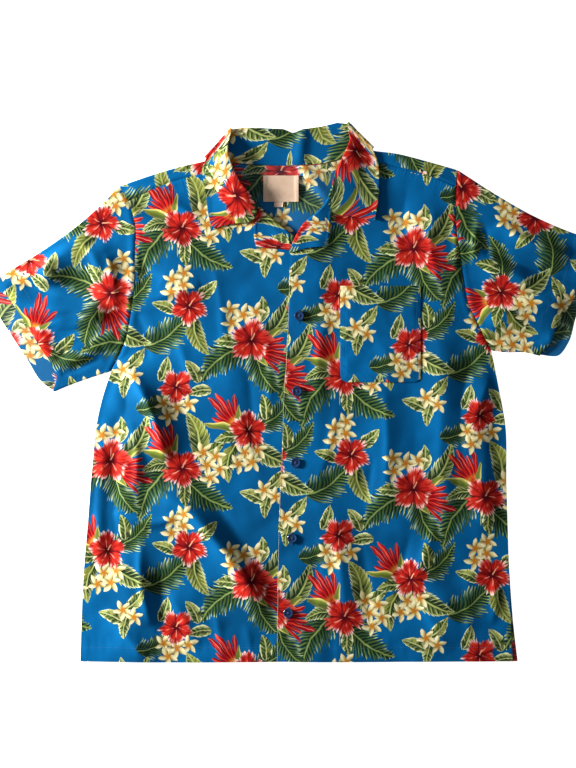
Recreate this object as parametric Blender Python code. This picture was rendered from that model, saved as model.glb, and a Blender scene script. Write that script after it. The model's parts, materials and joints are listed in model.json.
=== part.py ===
"""A short-sleeved camp-collar shirt, laid flat on its back, as the pieces that are cut and sewn.

Metres, +Z up, +Y from the hem to the collar, origin under the middle of the shirt. The tables are in
millimetres, because that is how a pattern is drawn. Every cloth piece is a wall: a grid of points on
the middle of the cloth, moved half a thickness to each side.
"""

import math

import bpy
import numpy as np

MM = 0.001

# ---- driving dimensions, in millimetres ----
CLOTH = 1.2
COLLAR_CLOTH = 1.5
SEAM_GAP = 0.3
LAYER = CLOTH + SEAM_GAP
TURN_GAP = CLOTH + 0.4
BACK_LEVEL = CLOTH / 2
SIDE_LEVEL = BACK_LEVEL + LAYER
BODY_LEVEL = 4.6
SIDE_FALL = 40.0
SEAM_HOLD = 16.0
NECK_LEVEL = 2.65
NECK_RISE_FROM = 284.0
NECK_RISE = 20.0
NECK_MIDDLE = 4.0
NECK_HALF = 150.0
NECK_EASE = 25.0
OVERLAP_END = 68.0
OVERLAP_SLOPE = 26.0
BREAK_LIFT = 3.2
BREAK_END = 120.0
BREAK_SLOPE = 75.0
BREAK_FROM = 128.0
BREAK_RISE = 62.0
COLLAR_UNDER_LEVEL = 1.7
COLLAR_HALF = 0.95
COLLAR_EASE = 0.15
COLLAR_SECTION_STEP = 9.0
FACING_RETURN = 6.0
PLACKET = 34.0
ARMHOLE_PARTS = 12
ROLL_PARTS = 8
BUTTON_DIAMETER = 14.0
BUTTON_THICKNESS = 2.4
BUTTON_HOLE = 1.9
BUTTON_HOLE_SPACING = 3.2
LABEL_THICKNESS = 1.0
POCKET_EASE = 0.35
LABEL_LEAD = 12.0

CLOTH_COLOUR = (0.0, 0.19, 0.55, 1.0)
BUTTON_COLOUR = (0.01, 0.02, 0.07, 1.0)
LABEL_COLOUR = (0.72, 0.52, 0.40, 1.0)

# ---- outlines. Columns: x, y. Right and left are the wearer's, so right is at -X. ----
SIDE_RIGHT = [
    (-292.5, -382), (-291, -330), (-288, -260), (-282, -187), (-275, -99), (-269, -43), (-259, -1), (-248, 31),
]
SIDE_LEFT = [
    (321, -382), (318.5, -332), (315, -230), (312, -129), (310, -43), (302, 1), (295, 37), (290, 60),
]
SIDE_LEFT_BACK = [
    (328, -382), (322.5, -335), (315, -230), (312, -129), (310, -43), (302, 1), (295, 37), (290, 60),
]
ARMHOLE_RIGHT = [(-248, 31), (-231, 67), (-218, 131), (-215, 202), (-216, 240), (-224, 270), (-236, 290)]
ARMHOLE_LEFT = [(290, 60), (275, 88), (258, 123), (250, 159), (242, 220), (239, 271), (241, 313)]
SHOULDER_RIGHT = [(-236, 290), (-170, 312), (-109, 328)]
SHOULDER_LEFT = [(117, 342), (160, 335), (195, 326), (241, 313)]
SEAM_RIGHT = [(-226, 273), (-166, 297), (-107, 313)]
SEAM_LEFT = [(117, 327), (157, 320), (191, 311), (240, 297)]
NECK_BACK = [(-109, 328), (-88, 326), (-50, 322), (0, 321), (50, 323), (92, 334), (117, 342)]
HEM_BACK = [(-292.5, -382), (-150, -383), (0, -382.5), (160, -383), (328, -382)]
HEM_RIGHT = [(-292.5, -382), (-150, -383), (-40, -382), (20, -381)]
HEM_LEFT = [(-14, -382), (60, -383), (180, -382.5), (321, -382)]
FRONT_EDGE_LEFT = [
    (-14, -382), (-11.5, -204), (-9, -129), (-6, -71), (-4.5, -6), (-2, 26), (1, 80), (4, 165), (5, 197),
]
ROLL_LEFT = [(5, 197), (13, 217), (26, 238), (45, 254), (57, 268), (64.5, 287)]
NECK_SEAM_LEFT = [(72, 282), (84, 292), (98, 306), (117, 327)]
ROLL_RIGHT = [(34, 198), (15, 215), (-4, 231), (-22, 246), (-39.6, 262.5)]
NECK_SEAM_RIGHT = [(-47, 257.5), (-67, 274), (-85, 288), (-107, 313)]
LAPEL_LEFT_LOWER = [(5, 197), (30, 204), (59, 206)]
LAPEL_LEFT_OUTER = [(59, 206), (62, 230), (64, 253)]
LAPEL_RIGHT_LOWER = [(34, 198), (0, 202), (-43, 204.5)]
LAPEL_RIGHT_OUTER = [(-43, 204.5), (-46.3, 222), (-46, 243.5)]

# ---- the collar. Columns: neck seam x, y; roll x, y; three points over the fall x, y ----
COLLAR_RIGHT = [
    (-46.5, 258.5, -40.5, 264, -47, 244.5, -80, 238, -106, 231),
    (-65, 276, -55, 283, -66, 268, -88, 254, -110.5, 250),
    (-82, 291, -67, 298, -80, 288, -98, 279, -114, 276),
    (-97, 307, -79, 322, -90, 312, -105, 304, -118, 301),
    (-103.5, 322, -84, 347, -93, 339, -107, 328, -119.5, 318),
]
COLLAR_BACK = [
    (-88, 327, -62, 374, -74, 354, -88, 333, -100, 314),
    (-50, 323, -38, 373.5, -46, 350, -54, 330, -60, 309),
    (0, 322, -5, 372, -3, 350, -2, 330, 0, 309),
    (6, 322, 9, 366, 8, 348, 7, 330, 6, 309),
    (12, 322, 22, 371.5, 18, 350, 14, 330, 12, 309),
    (50, 324, 52, 376, 54, 352, 56, 331, 58, 310),
    (92, 335, 72, 381, 82, 360, 94, 338, 103, 322),
]
COLLAR_LEFT = [
    (111, 337, 91, 358, 101, 350, 115, 340, 128, 331),
    (106, 320, 82, 336, 98, 326, 116, 318, 131, 311),
    (95.5, 307.5, 73, 316, 92, 306, 112, 298, 130.5, 291),
    (82, 293.5, 67, 301, 86, 287, 108, 274, 129, 266),
    (71.5, 284.5, 65.5, 289, 65.4, 254.6, 96, 248, 125, 242),
]
# The folds where the collar turns under itself beside each shoulder. Columns: top x, y; foot x, y
COLLAR_TURN_RIGHT = (-80.5, 374, -116, 333.5)
COLLAR_TURN_LEFT = (89, 382, 124, 347)
# Where the neck seam, the roll and the three points over the fall lie along a turn, from 0 to 1
COLLAR_TURN_PARTS = (0.93, 0.0, 0.35, 0.7, 1.0)

# ---- sleeves. Columns: x, y ----
SLEEVE_RIGHT = {
    "armhole": ARMHOLE_RIGHT,
    "over": [(-236.35, 290), (-279, 248), (-337, 204), (-397, 167), (-432, 146)],
    "under": [(-248.35, 31), (-280, 21), (-309, 11), (-331, 2)],
    "front_hem": [(-432, 146), (-400, 139), (-380, 114), (-362, 84), (-339, 48), (-326, 22), (-331, 2)],
    "back_hem": [(-432, 146), (-404, 101), (-368, 46), (-347, 14), (-331, 2)],
    "levels": (BODY_LEVEL, SIDE_LEVEL, 4.2, 3.6),
    "side": -1,
}
SLEEVE_LEFT = {
    "armhole": ARMHOLE_LEFT,
    "over": [(241.35, 313), (303, 274), (347, 249), (382, 233), (432, 214)],
    "under": [(290.35, 60), (312, 57.5), (336, 58), (360, 53)],
    "front_hem": [(432, 214), (424, 178), (409, 136), (384, 96), (374, 70), (360, 53)],
    "back_hem": [(432, 214), (425, 152), (410, 104), (400, 70), (386, 52), (360, 53)],
    "levels": (BODY_LEVEL, SIDE_LEVEL, 4.2, 3.6),
    "side": 1,
}

# ---- the largest folds. Columns: height, half width, the points x, y that each runs through ----
FOLDS_RIGHT = [
    (3.5, 20, [(-250, 24), (-240, -12)]),
    (5.0, 22, [(-216, -10), (-200, -42), (-184, -76)]),
    (3.5, 20, [(-224, -95), (-219, -150)]),
    (5.5, 24, [(-165, -164), (-133, -181), (-101, -204), (-76, -238), (-48, -282)]),
    (4.5, 22, [(-231, -250), (-219, -290), (-206, -310)]),
    (3.0, 22, [(-224, -348), (-204, -370)]),
    (2.5, 36, [(-150, 150), (-120, 60)]),
    (2.0, 30, [(-80, 60), (-70, -60)]),
]
FOLDS_LEFT = [
    (2.6, 24, [(140, -20), (143, -160)]),
    (3.2, 24, [(221, 60), (226, -150)]),
    (3.5, 22, [(270, -60), (284, -180)]),
    (2.2, 30, [(66, -170), (82, -330)]),
    (3.4, 24, [(200, -240), (230, -330)]),
    (3.6, 20, [(290, 24), (268, -30)]),
    (3.0, 26, [(200, 230), (222, 120)]),
]
FOLDS_SLEEVE_RIGHT = [
    (5.0, 22, [(-392, 166), (-345, 170)]),
    (6.0, 22, [(-385, 126), (-318, 114), (-275, 112)]),
    (3.5, 22, [(-262, 200), (-258, 140)]),
    (3.0, 20, [(-300, 60), (-262, 70)]),
]
FOLDS_SLEEVE_LEFT = [
    (4.5, 24, [(300, 240), (380, 200)]),
    (5.0, 22, [(300, 110), (376, 114)]),
    (3.5, 24, [(290, 176), (346, 156)]),
]

POCKET = {"left": 76.0, "right": 190.0, "top": 150.5, "bottom": 14.0, "corner": 9.0}
BUTTONS = [(18, 108), (15, 1), (13, -100), (8, -207), (2.5, -313)]
LABEL = {"left": -33.0, "right": 17.0, "top": 307.0, "bottom": 270.0}
SIZE_TAB = {"left": -17.5, "right": -5.0, "top": 269.4, "bottom": 262.5}


# ---- curves and grids ----
def smooth(t):
    t = np.clip(t, 0.0, 1.0)
    return t * t * (3.0 - 2.0 * t)


def spread(table, count):
    """count + 1 points, evenly spaced by length, on a smooth curve through a table's points."""
    table = np.array(table, float)
    if len(table) == 2:
        return table[0] + np.linspace(0.0, 1.0, count + 1)[:, None] * (table[1] - table[0])
    chord = np.linalg.norm(np.diff(table, axis=0), axis=1)
    knots = np.concatenate([[0.0], np.cumsum(chord)])
    slopes = np.gradient(table, knots, axis=0)
    fine = []
    for i in range(len(table) - 1):
        t = np.linspace(0.0, 1.0, 25)[:, None]
        fine.append(
            (2 * t**3 - 3 * t**2 + 1) * table[i]
            + (t**3 - 2 * t**2 + t) * slopes[i] * chord[i]
            + (3 * t**2 - 2 * t**3) * table[i + 1]
            + (t**3 - t**2) * slopes[i + 1] * chord[i]
        )
    fine = np.concatenate(fine)
    step = np.linalg.norm(np.diff(fine, axis=0), axis=1)
    length = np.concatenate([[0.0], np.cumsum(step)])
    places = np.linspace(0.0, length[-1], count + 1)
    return np.stack([np.interp(places, length, column) for column in fine.T], axis=1)


def joined(*runs):
    """Several runs of points as one, each without the point that it shares with the one before it."""
    return np.concatenate([runs[0]] + [run[1:] for run in runs[1:]])


def patch(left, right, bottom, top):
    """The grid between four edges: rows run from the bottom to the top, columns from left to right."""
    left, right, bottom, top = (np.array(edge, float) for edge in (left, right, bottom, top))
    v = np.linspace(0.0, 1.0, len(left))[:, None, None]
    u = np.linspace(0.0, 1.0, len(bottom))[None, :, None]
    across = (1 - u) * left[:, None] + u * right[:, None]
    along = (1 - v) * bottom[None] + v * top[None]
    corners = (
        (1 - u) * (1 - v) * bottom[0]
        + u * (1 - v) * bottom[-1]
        + (1 - u) * v * top[0]
        + u * v * top[-1]
    )
    return across + along - corners


def distance_to(line, x, y):
    """How far each point (x, y) is from a line of points."""
    line = np.array(line, float)
    nearest = np.full(np.shape(x), 1e9)
    for (ax, ay), (bx, by) in zip(line[:-1], line[1:]):
        span = (bx - ax) ** 2 + (by - ay) ** 2
        t = np.clip(((x - ax) * (bx - ax) + (y - ay) * (by - ay)) / span, 0.0, 1.0)
        nearest = np.minimum(nearest, np.hypot(x - ax - t * (bx - ax), y - ay - t * (by - ay)))
    return nearest


def folds(table, x, y):
    """The height that a table's folds add at (x, y)."""
    height = np.zeros(np.shape(x))
    for top, width, line in table:
        height = np.maximum(height, top * np.exp(-((distance_to(line, x, y) / width) ** 2)))
    return height


# ---- the levels of the layers ----
def back_level(x, y):
    """The back lies on the floor, and rises over the collar's fall at the neck."""
    inside = smooth((NECK_HALF - np.abs(x - NECK_MIDDLE)) / NECK_EASE)
    return BACK_LEVEL + (NECK_LEVEL - BACK_LEVEL) * inside * smooth((y - NECK_RISE_FROM) / NECK_RISE)


def body_level(table, x, y):
    """The fronts lie on the back at the side seams, and stand a little higher with their folds inside them."""
    away = np.minimum(distance_to(SIDE_RIGHT, x, y), distance_to(SIDE_LEFT, x, y))
    rise = (BODY_LEVEL - SIDE_LEVEL) * (1 - np.exp(-((away / SIDE_FALL) ** 2)))
    return SIDE_LEVEL + rise + folds(table, x, y) * (1 - np.exp(-((away / SEAM_HOLD) ** 2)))


def right_level(x, y):
    return body_level(FOLDS_RIGHT, x, y)


def left_level(x, y):
    """The left front also climbs onto the right one, and onto its lapel below the neck."""
    over_placket = (TURN_GAP + SEAM_GAP) * smooth((OVERLAP_END - x) / OVERLAP_SLOPE)
    over_lapel = BREAK_LIFT * smooth((BREAK_END - x) / BREAK_SLOPE) * smooth((y - BREAK_FROM) / BREAK_RISE)
    return body_level(FOLDS_LEFT, x, y) + over_placket + over_lapel


# ---- solids ----
def wall(name, points, faces, thickness, colour):
    """A closed wall of a thickness about an open grid of four-sided faces, all facing one way."""
    points = np.array(points, float)
    faces = np.array(faces, int)
    corner = points[faces]
    normal = np.cross(corner[:, 2] - corner[:, 0], corner[:, 3] - corner[:, 1])
    shared = np.zeros_like(points)
    for column in range(4):
        np.add.at(shared, faces[:, column], normal)
    shared /= np.linalg.norm(shared, axis=1)[:, None]
    count = len(points)
    both = np.concatenate([points + shared * thickness / 2, points - shared * thickness / 2])
    every = []
    for a, b, c, d in faces:
        # A face is split along its higher diagonal, which keeps the crest of a fold whole.
        along_ac = points[[a, c], 2].sum() > points[[b, d], 2].sum()
        split = ((a, b, c), (a, c, d)) if along_ac else ((a, b, d), (b, c, d))
        every += split
        every += [(k + count, j + count, i + count) for i, j, k in split]
    directed = {(face[i], face[(i + 1) % 4]) for face in faces for i in range(4)}
    for a, b in sorted(directed):
        if (b, a) not in directed:
            every.append((b, a, a + count, b + count))
    return solid(name, both, every, colour)


def solid(name, points, faces, colour):
    mesh = bpy.data.meshes.new(name)
    places = [tuple(float(c) * MM for c in point) for point in points]
    mesh.from_pydata(places, [], [tuple(map(int, face)) for face in faces])
    mesh.update()
    mesh.shade_smooth()
    mesh.set_sharp_from_angle(angle=math.radians(40))
    piece = bpy.data.objects.new(name, mesh)
    bpy.context.scene.collection.objects.link(piece)
    mesh.materials.append(material(colour))
    return piece


def material(colour):
    key = "finish_" + "_".join(f"{part:.2f}" for part in colour[:3])
    found = bpy.data.materials.get(key)
    if found:
        return found
    made = bpy.data.materials.new(key)
    made.use_nodes = True
    shader = made.node_tree.nodes["Principled BSDF"]
    shader.inputs["Base Color"].default_value = colour
    shader.inputs["Roughness"].default_value = 0.7 if colour is not BUTTON_COLOUR else 0.3
    return made


def grid_faces(rows, columns, start=0, closed=False):
    """The faces of a grid whose points are numbered row by row, seen from its front."""
    faces = []
    for i in range(rows - 1):
        for j in range(columns if closed else columns - 1):
            k = (j + 1) % columns
            a, b = start + i * columns, start + (i + 1) * columns
            faces.append((a + j, a + k, b + k, b + j))
    return faces


def sheet(name, grid, thickness=CLOTH, colour=CLOTH_COLOUR, closed=False):
    rows, columns = grid.shape[:2]
    return wall(name, grid.reshape(-1, 3), grid_faces(rows, columns, 0, closed), thickness, colour)


def lifted(grid, level):
    """A plan grid as points in space, at a level that depends on the place."""
    return np.dstack([grid, level(grid[..., 0], grid[..., 1])])


# ---- the body ----
def back_panel():
    """The back, with its shoulders turned over to the forward seams."""
    shoulder_columns, neck_columns, side_rows = 5, 12, 11
    top = joined(
        spread(SHOULDER_RIGHT, shoulder_columns),
        spread(NECK_BACK, neck_columns),
        spread(SHOULDER_LEFT, shoulder_columns),
    )
    left = joined(spread(SIDE_RIGHT, side_rows), spread(ARMHOLE_RIGHT, ARMHOLE_PARTS))
    right = joined(spread(SIDE_LEFT_BACK, side_rows), spread(ARMHOLE_LEFT, ARMHOLE_PARTS))
    plan = patch(left, right, spread(HEM_BACK, len(top) - 1), top)
    # Seen from inside the shirt the grid faces up; the wall is the same either way.
    grid = lifted(plan, back_level)
    rows, columns = grid.shape[:2]
    points = list(grid.reshape(-1, 3))
    faces = grid_faces(rows, columns)
    last = (rows - 1) * columns
    seam_right = [tuple(left[-2])] + SEAM_RIGHT[1:]
    seam_left = SEAM_LEFT[:-1] + [tuple(right[-2])]
    for first, seam in ((0, seam_right), (shoulder_columns + neck_columns, seam_left)):
        ends = spread(seam, shoulder_columns)
        line = [last + first + j for j in range(shoulder_columns + 1)]
        edge = grid[-1, first : first + shoulder_columns + 1]
        run = np.gradient(edge[:, :2], axis=0)
        out = np.stack([-run[:, 1], run[:, 0]], axis=1)
        out /= np.linalg.norm(out, axis=1)[:, None]
        upper = right_level if first == 0 else left_level
        high = upper(edge[:, 0], edge[:, 1])
        radius = (high - edge[:, 2]) / 2
        strips = []
        for angle in (30, 60, 90, 120, 150):
            turn = math.radians(angle)
            place = edge[:, :2] + out * (radius * math.sin(turn))[:, None]
            strips.append(np.column_stack([place, edge[:, 2] + radius * (1 - math.cos(turn))]))
        for part in (0.0, 0.5, 1.0):
            place = edge[:, :2] * (1 - part) + ends * part
            strips.append(np.column_stack([place, upper(place[:, 0], place[:, 1])]))
        for strip in strips:
            start = len(points)
            points.extend(strip)
            for j in range(shoulder_columns):
                faces.append((line[j], line[j + 1], start + j + 1, start + j))
            line = [start + j for j in range(shoulder_columns + 1)]
    return wall("back_panel", points, faces, CLOTH, CLOTH_COLOUR)


def below(curve, gap=SEAM_GAP + 0.1):
    """A seam's line moved down by its gap."""
    return np.array(curve, float) - (0.0, gap)


def front_right():
    """The wearer's right front, the under one."""
    side_rows, columns = 18, 18
    edge = [(x + PLACKET, y) for x, y in FRONT_EDGE_LEFT[:-2]] + [(36, 165)]
    inner = joined(
        spread(edge + [ROLL_RIGHT[0]], side_rows - 2),
        spread(ROLL_RIGHT, ROLL_PARTS),
        spread([ROLL_RIGHT[-1], below(NECK_SEAM_RIGHT)[0]], 1),
        spread(below(NECK_SEAM_RIGHT), 4),
    )
    outer = joined(spread(SIDE_RIGHT, side_rows), armhole_front(ARMHOLE_RIGHT))
    top = below(spread([tuple(outer[-1])] + SEAM_RIGHT[1:], columns))
    plan = patch(joined(outer[:-1], [outer[-2], top[0]]), inner, spread(HEM_RIGHT, columns), top)
    return sheet("front_right", lifted(plan, right_level))


def armhole_front(armhole):
    """The front's part of an armhole: all but the last step, which the turned-over shoulder takes."""
    return spread(armhole, ARMHOLE_PARTS)[:-1]


def front_left():
    """The wearer's left front, the upper one."""
    side_rows, columns = 18, 18
    inner = joined(
        spread(FRONT_EDGE_LEFT, side_rows - 1),
        spread(ROLL_LEFT, ROLL_PARTS),
        spread([ROLL_LEFT[-1], below(NECK_SEAM_LEFT)[0]], 1),
        spread(below(NECK_SEAM_LEFT), 3),
    )
    outer = joined(spread(SIDE_LEFT, side_rows), armhole_front(ARMHOLE_LEFT))
    top = below(spread(SEAM_LEFT[:-1] + [tuple(outer[-1])], columns))
    plan = patch(inner, joined(outer[:-1], [outer[-2], top[-1]]), spread(HEM_LEFT, columns), top)
    return sheet("front_left", lifted(plan, left_level))


# ---- the sleeves ----
def sleeve(name, parts, folds_table, body):
    """A flat tube: the front layer from the overarm to the underarm, and the back layer back again."""
    around, along = ARMHOLE_PARTS, 10
    over_start, under_start, over_end, under_end = parts["levels"]
    armhole = spread(parts["armhole"], around)[::-1] + (parts["side"] * (SEAM_GAP + 0.05), 0.0)
    over = spread(parts["over"], along)
    under = spread(parts["under"], along)
    front = patch(over, under, armhole, spread(parts["front_hem"], around))
    back = patch(over, under, armhole, spread(parts["back_hem"], around))
    s = np.linspace(0.0, 1.0, along + 1)
    over_level = over_start + (over_end - over_start) * s
    under_level = under_start + (under_end - under_start) * s
    t = np.linspace(0.0, 1.0, around + 1)
    start_level = body(armhole[:, 0], armhole[:, 1])
    end_level = over_end + (under_end - over_end) * t
    level = patch(over_level[:, None], under_level[:, None], start_level[:, None], end_level[:, None])[..., 0]
    inside = smooth(np.minimum(t, 1 - t) * 4)[None, :] * smooth(s * 3.5)[:, None]
    level = level + folds(folds_table, front[..., 0], front[..., 1]) * inside
    front = np.dstack([front, level])
    back = np.dstack([back, np.full(back.shape[:2], BACK_LEVEL)])
    rings = []
    for i in range(along + 1):
        ring = list(front[i])
        below_arm = outward(under, i, -parts["side"])
        if i == 0:
            below_arm = (below_arm + (parts["side"], 0.0, 0.0)) / math.sqrt(2)
        ring += turn(front[i, -1], back[i, -1], below_arm)
        ring += list(back[i, ::-1])
        ring += turn(back[i, 0], front[i, 0], outward(over, i, parts["side"]))
        rings.append(ring)
    grid = np.array(rings)
    if parts["side"] < 0:
        grid = grid[:, ::-1]
    return sheet(name, grid, closed=True)


def outward(line, i, side):
    """The level direction square to a line at its point i, to one side of it."""
    run = np.gradient(line, axis=0)[i]
    return side * np.array([-run[1], run[0], 0.0]) / np.hypot(*run)


def turn(start, end, out):
    """Points on the half circle by which cloth turns from one level to another."""
    middle, half = (start + end) / 2, (start - end) / 2
    radius = np.linalg.norm(half)
    return [
        middle + half * math.cos(a) + out * radius * math.sin(a) for a in np.radians((45, 90, 135))
    ]


# ---- collar and lapels ----
def collar():
    """The collar, doubled over at its roll: the stand inside and the fall outside."""
    sections = [section(row, collar_level(row[2], row[3]), 0.0) for row in COLLAR_RIGHT]
    sections += collar_turn(COLLAR_TURN_RIGHT, -1)
    sections += [section(row, COLLAR_UNDER_LEVEL, math.pi) for row in COLLAR_BACK]
    sections += collar_turn(COLLAR_TURN_LEFT, 1)[::-1]
    sections += [section(row, collar_level(row[2], row[3]), 0.0) for row in COLLAR_LEFT]
    return sheet("collar", spread_sections(np.array(sections), 2), COLLAR_CLOTH)


def collar_level(x, y):
    """The middle of the doubled collar where it lies on a front."""
    front = BODY_LEVEL if x < 0 else float(left_level(x, y))
    return front + COLLAR_HALF + COLLAR_EASE


def section(row, level, angle, out=(0.0, 0.0)):
    """One section of the collar, from the neck seam over the roll to the edge of the fall.

    angle turns the side that the fall is on from above, at 0, to below, at pi, by way of out.
    """
    neck, roll, first, second, edge = np.column_stack([np.reshape(row, (5, 2)), np.full(5, level)])
    away = (neck - roll) / np.linalg.norm(neck - roll)
    fall_side = COLLAR_HALF * np.array([out[0] * math.sin(angle), out[1] * math.sin(angle), math.cos(angle)])
    stand = [neck - fall_side, (neck + roll) / 2 - fall_side, roll - fall_side]
    rolled = [
        roll - fall_side * math.cos(a) - away * COLLAR_HALF * math.sin(a) for a in np.radians((45, 90, 135))
    ]
    return stand + rolled + [place + fall_side for place in (roll, first, second, edge)]


def collar_turn(line, side):
    """The sections where the collar turns under itself about a line beside the shoulder."""
    head, foot = np.array(line[:2], float), np.array(line[2:], float)
    along = (foot - head) / np.linalg.norm(foot - head)
    out = np.array([-along[1], along[0]])
    out *= side * np.sign(out[0])
    radius = (collar_level(*head) - COLLAR_UNDER_LEVEL) / 2
    made = []
    for angle in np.radians((0, 30, 60, 90, 120, 150, 180)):
        roll = head + out * (radius * math.sin(angle) - radius - COLLAR_HALF)
        row = np.concatenate([roll + (foot - head) * part for part in COLLAR_TURN_PARTS])
        made.append(section(row, COLLAR_UNDER_LEVEL + radius * (1 + math.cos(angle)), angle, out))
    return made


def spread_sections(sections, most):
    """Sections with more put between those that are far apart, on smooth lines."""
    rows = [sections[0]]
    for i in range(1, len(sections)):
        far = np.linalg.norm(sections[i, 2] - sections[i - 1, 2])
        pieces = min(most, max(1, round(far / COLLAR_SECTION_STEP)))
        before = sections[max(i - 2, 0)]
        after = sections[min(i + 1, len(sections) - 1)]
        for k in range(1, pieces + 1):
            t = k / pieces
            straight = sections[i - 1] * (1 - t) + sections[i] * t
            bend = (sections[i] + sections[i - 1] - before - after) * t * (1 - t) / 4
            bend[..., 2] = 0.0
            near_turn = far < COLLAR_SECTION_STEP or np.abs(bend).max() > COLLAR_SECTION_STEP / 2
            rows.append(straight if near_turn else straight + bend)
    return np.array(rows)


def lapel(name, roll, outer, lower, gorge, level, side):
    """A facing turned back at its roll line, with a short return under the front."""
    rows, columns = len(roll), 6
    plan = patch(roll, outer, spread(lower, columns), spread(gorge, columns))
    strips = []
    for i in range(rows):
        run = np.gradient(roll, axis=0)[i]
        out = side * np.array([-run[1], run[0]]) / np.hypot(*run)
        middle = float(level(roll[i, 0], roll[i, 1]))
        strip = []
        for back_by in (FACING_RETURN, FACING_RETURN / 2):
            place = roll[i] - out * back_by
            strip.append((place[0], place[1], float(level(place[0], place[1])) - TURN_GAP))
        for degrees in (0, 36, 72, 108, 144):
            a = math.radians(degrees)
            place = roll[i] + out * TURN_GAP * math.sin(a)
            strip.append((place[0], place[1], middle - TURN_GAP * math.cos(a)))
        for place in plan[i]:
            strip.append((place[0], place[1], float(level(place[0], place[1])) + TURN_GAP))
        strips.append(strip)
    grid = np.array(strips)
    if side > 0:
        grid = grid[::-1]
    return sheet(name, grid)


def lapels():
    lapel(
        "lapel_right",
        spread(ROLL_RIGHT, ROLL_PARTS),
        spread(LAPEL_RIGHT_OUTER, ROLL_PARTS),
        LAPEL_RIGHT_LOWER,
        [ROLL_RIGHT[-1], LAPEL_RIGHT_OUTER[-1]],
        right_level,
        -1,
    )
    lapel(
        "lapel_left",
        spread(ROLL_LEFT, ROLL_PARTS),
        spread(LAPEL_LEFT_OUTER, ROLL_PARTS),
        LAPEL_LEFT_LOWER,
        [ROLL_LEFT[-1], LAPEL_LEFT_OUTER[-1]],
        left_level,
        1,
    )


# ---- what lies on the panels ----
def pocket():
    """The patch pocket: the left front's own surface, moved out by a layer."""
    x = np.linspace(POCKET["left"], POCKET["right"], 9)
    y = np.linspace(POCKET["bottom"], POCKET["top"], 10)
    plan = np.stack(np.meshgrid(x, y), axis=-1)
    corner = POCKET["corner"]
    for column, step in ((0, 1), (-1, -1)):
        plan[0, column] += (step * corner * 0.3, corner * 0.3)
    return sheet("pocket", lifted(plan, lambda px, py: left_level(px, py) + LAYER + POCKET_EASE))


def patch_label(name, size, level):
    x = np.linspace(size["left"], size["right"], 3)
    y = np.linspace(size["bottom"], size["top"], 3)
    plan = np.stack(np.meshgrid(x, y), axis=-1)
    return sheet(name, lifted(plan, level), LABEL_THICKNESS, LABEL_COLOUR)


def labels():
    rise = (CLOTH + LABEL_THICKNESS) / 2 + SEAM_GAP
    # The back rises in long flat steps, so a label takes the level of the step above it.
    patch_label("neck_label", LABEL, lambda x, y: back_level(x, y + LABEL_LEAD) + rise)
    patch_label("size_tab", SIZE_TAB, lambda x, y: back_level(x, y + LABEL_LEAD) + rise)


def button(name, x, y):
    """A four-hole button with a raised rim, on the left front."""
    radius, thick = BUTTON_DIAMETER / 2, BUTTON_THICKNESS
    profile = [
        (0.0, 0.0), (0.84, 0.0), (1.0, 0.45), (0.92, 0.95), (0.8, 1.0), (0.66, 0.72), (0.0, 0.66),
    ]
    sides = 14
    points, faces = [], []
    for share, height in profile:
        ring = 1 if share == 0.0 else sides
        for k in range(ring):
            a = 2 * math.pi * k / sides
            points.append((share * radius * math.cos(a), share * radius * math.sin(a), height * thick))
    for k in range(sides):
        n = (k + 1) % sides
        faces.append((0, 1 + n, 1 + k))
        for ring in range(len(profile) - 3):
            a, b = 1 + ring * sides, 1 + (ring + 1) * sides
            faces.append((a + k, a + n, b + n, b + k))
        last = 1 + (len(profile) - 3) * sides
        faces.append((last + k, last + n, len(points) - 1))
    piece = solid(name, points, faces, BUTTON_COLOUR)
    top = float(left_level(x, y)) + CLOTH / 2 + SEAM_GAP + 0.1
    piece.location = (x * MM, y * MM, top * MM)
    cut = piece.modifiers.new("holes", "BOOLEAN")
    cut.object = hole_cutter(x, y, top)
    return piece


def hole_cutter(x, y, level):
    """Four rods through a button."""
    points, faces = [], []
    sides = 6
    for sx in (-1, 1):
        for sy in (-1, 1):
            start = len(points)
            for height in (-1.0, BUTTON_THICKNESS + 1.0):
                for k in range(sides):
                    a = 2 * math.pi * k / sides
                    points.append(
                        (
                            sx * BUTTON_HOLE_SPACING / 2 + BUTTON_HOLE / 2 * math.cos(a),
                            sy * BUTTON_HOLE_SPACING / 2 + BUTTON_HOLE / 2 * math.sin(a),
                            height,
                        )
                    )
            faces.append(tuple(start + k for k in reversed(range(sides))))
            faces.append(tuple(start + sides + k for k in range(sides)))
            for k in range(sides):
                n = (k + 1) % sides
                faces.append((start + k, start + n, start + sides + n, start + sides + k))
    cutter = solid("hole_cutter", points, faces, BUTTON_COLOUR)
    cutter.location = (x * MM, y * MM, level * MM)
    cutter.hide_render = True
    cutter.display_type = "WIRE"
    return cutter


def main():
    for old in list(bpy.data.objects):
        bpy.data.objects.remove(old, do_unlink=True)
    back_panel()
    front_right()
    front_left()
    sleeve("sleeve_right", SLEEVE_RIGHT, FOLDS_SLEEVE_RIGHT, right_level)
    sleeve("sleeve_left", SLEEVE_LEFT, FOLDS_SLEEVE_LEFT, left_level)
    collar()
    lapels()
    pocket()
    labels()
    for number, (x, y) in enumerate(BUTTONS, 1):
        button(f"button_{number}", x, y)


main()
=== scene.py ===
"""The looks of a short-sleeved floral shirt with a camp collar, laid flat on its back.

Millimetres up to where a mesh is made, as on a paper pattern; +Y is towards the collar and +X is towards
the wearer's left sleeve. Every cloth piece is a thin shell on the lines and levels of its solid in the
frame, with its creases, hems and seams worked in. Each point also carries its place on the flat cut
cloth, and the print and the weave are drawn from that place.
"""

import json
import math

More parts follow.
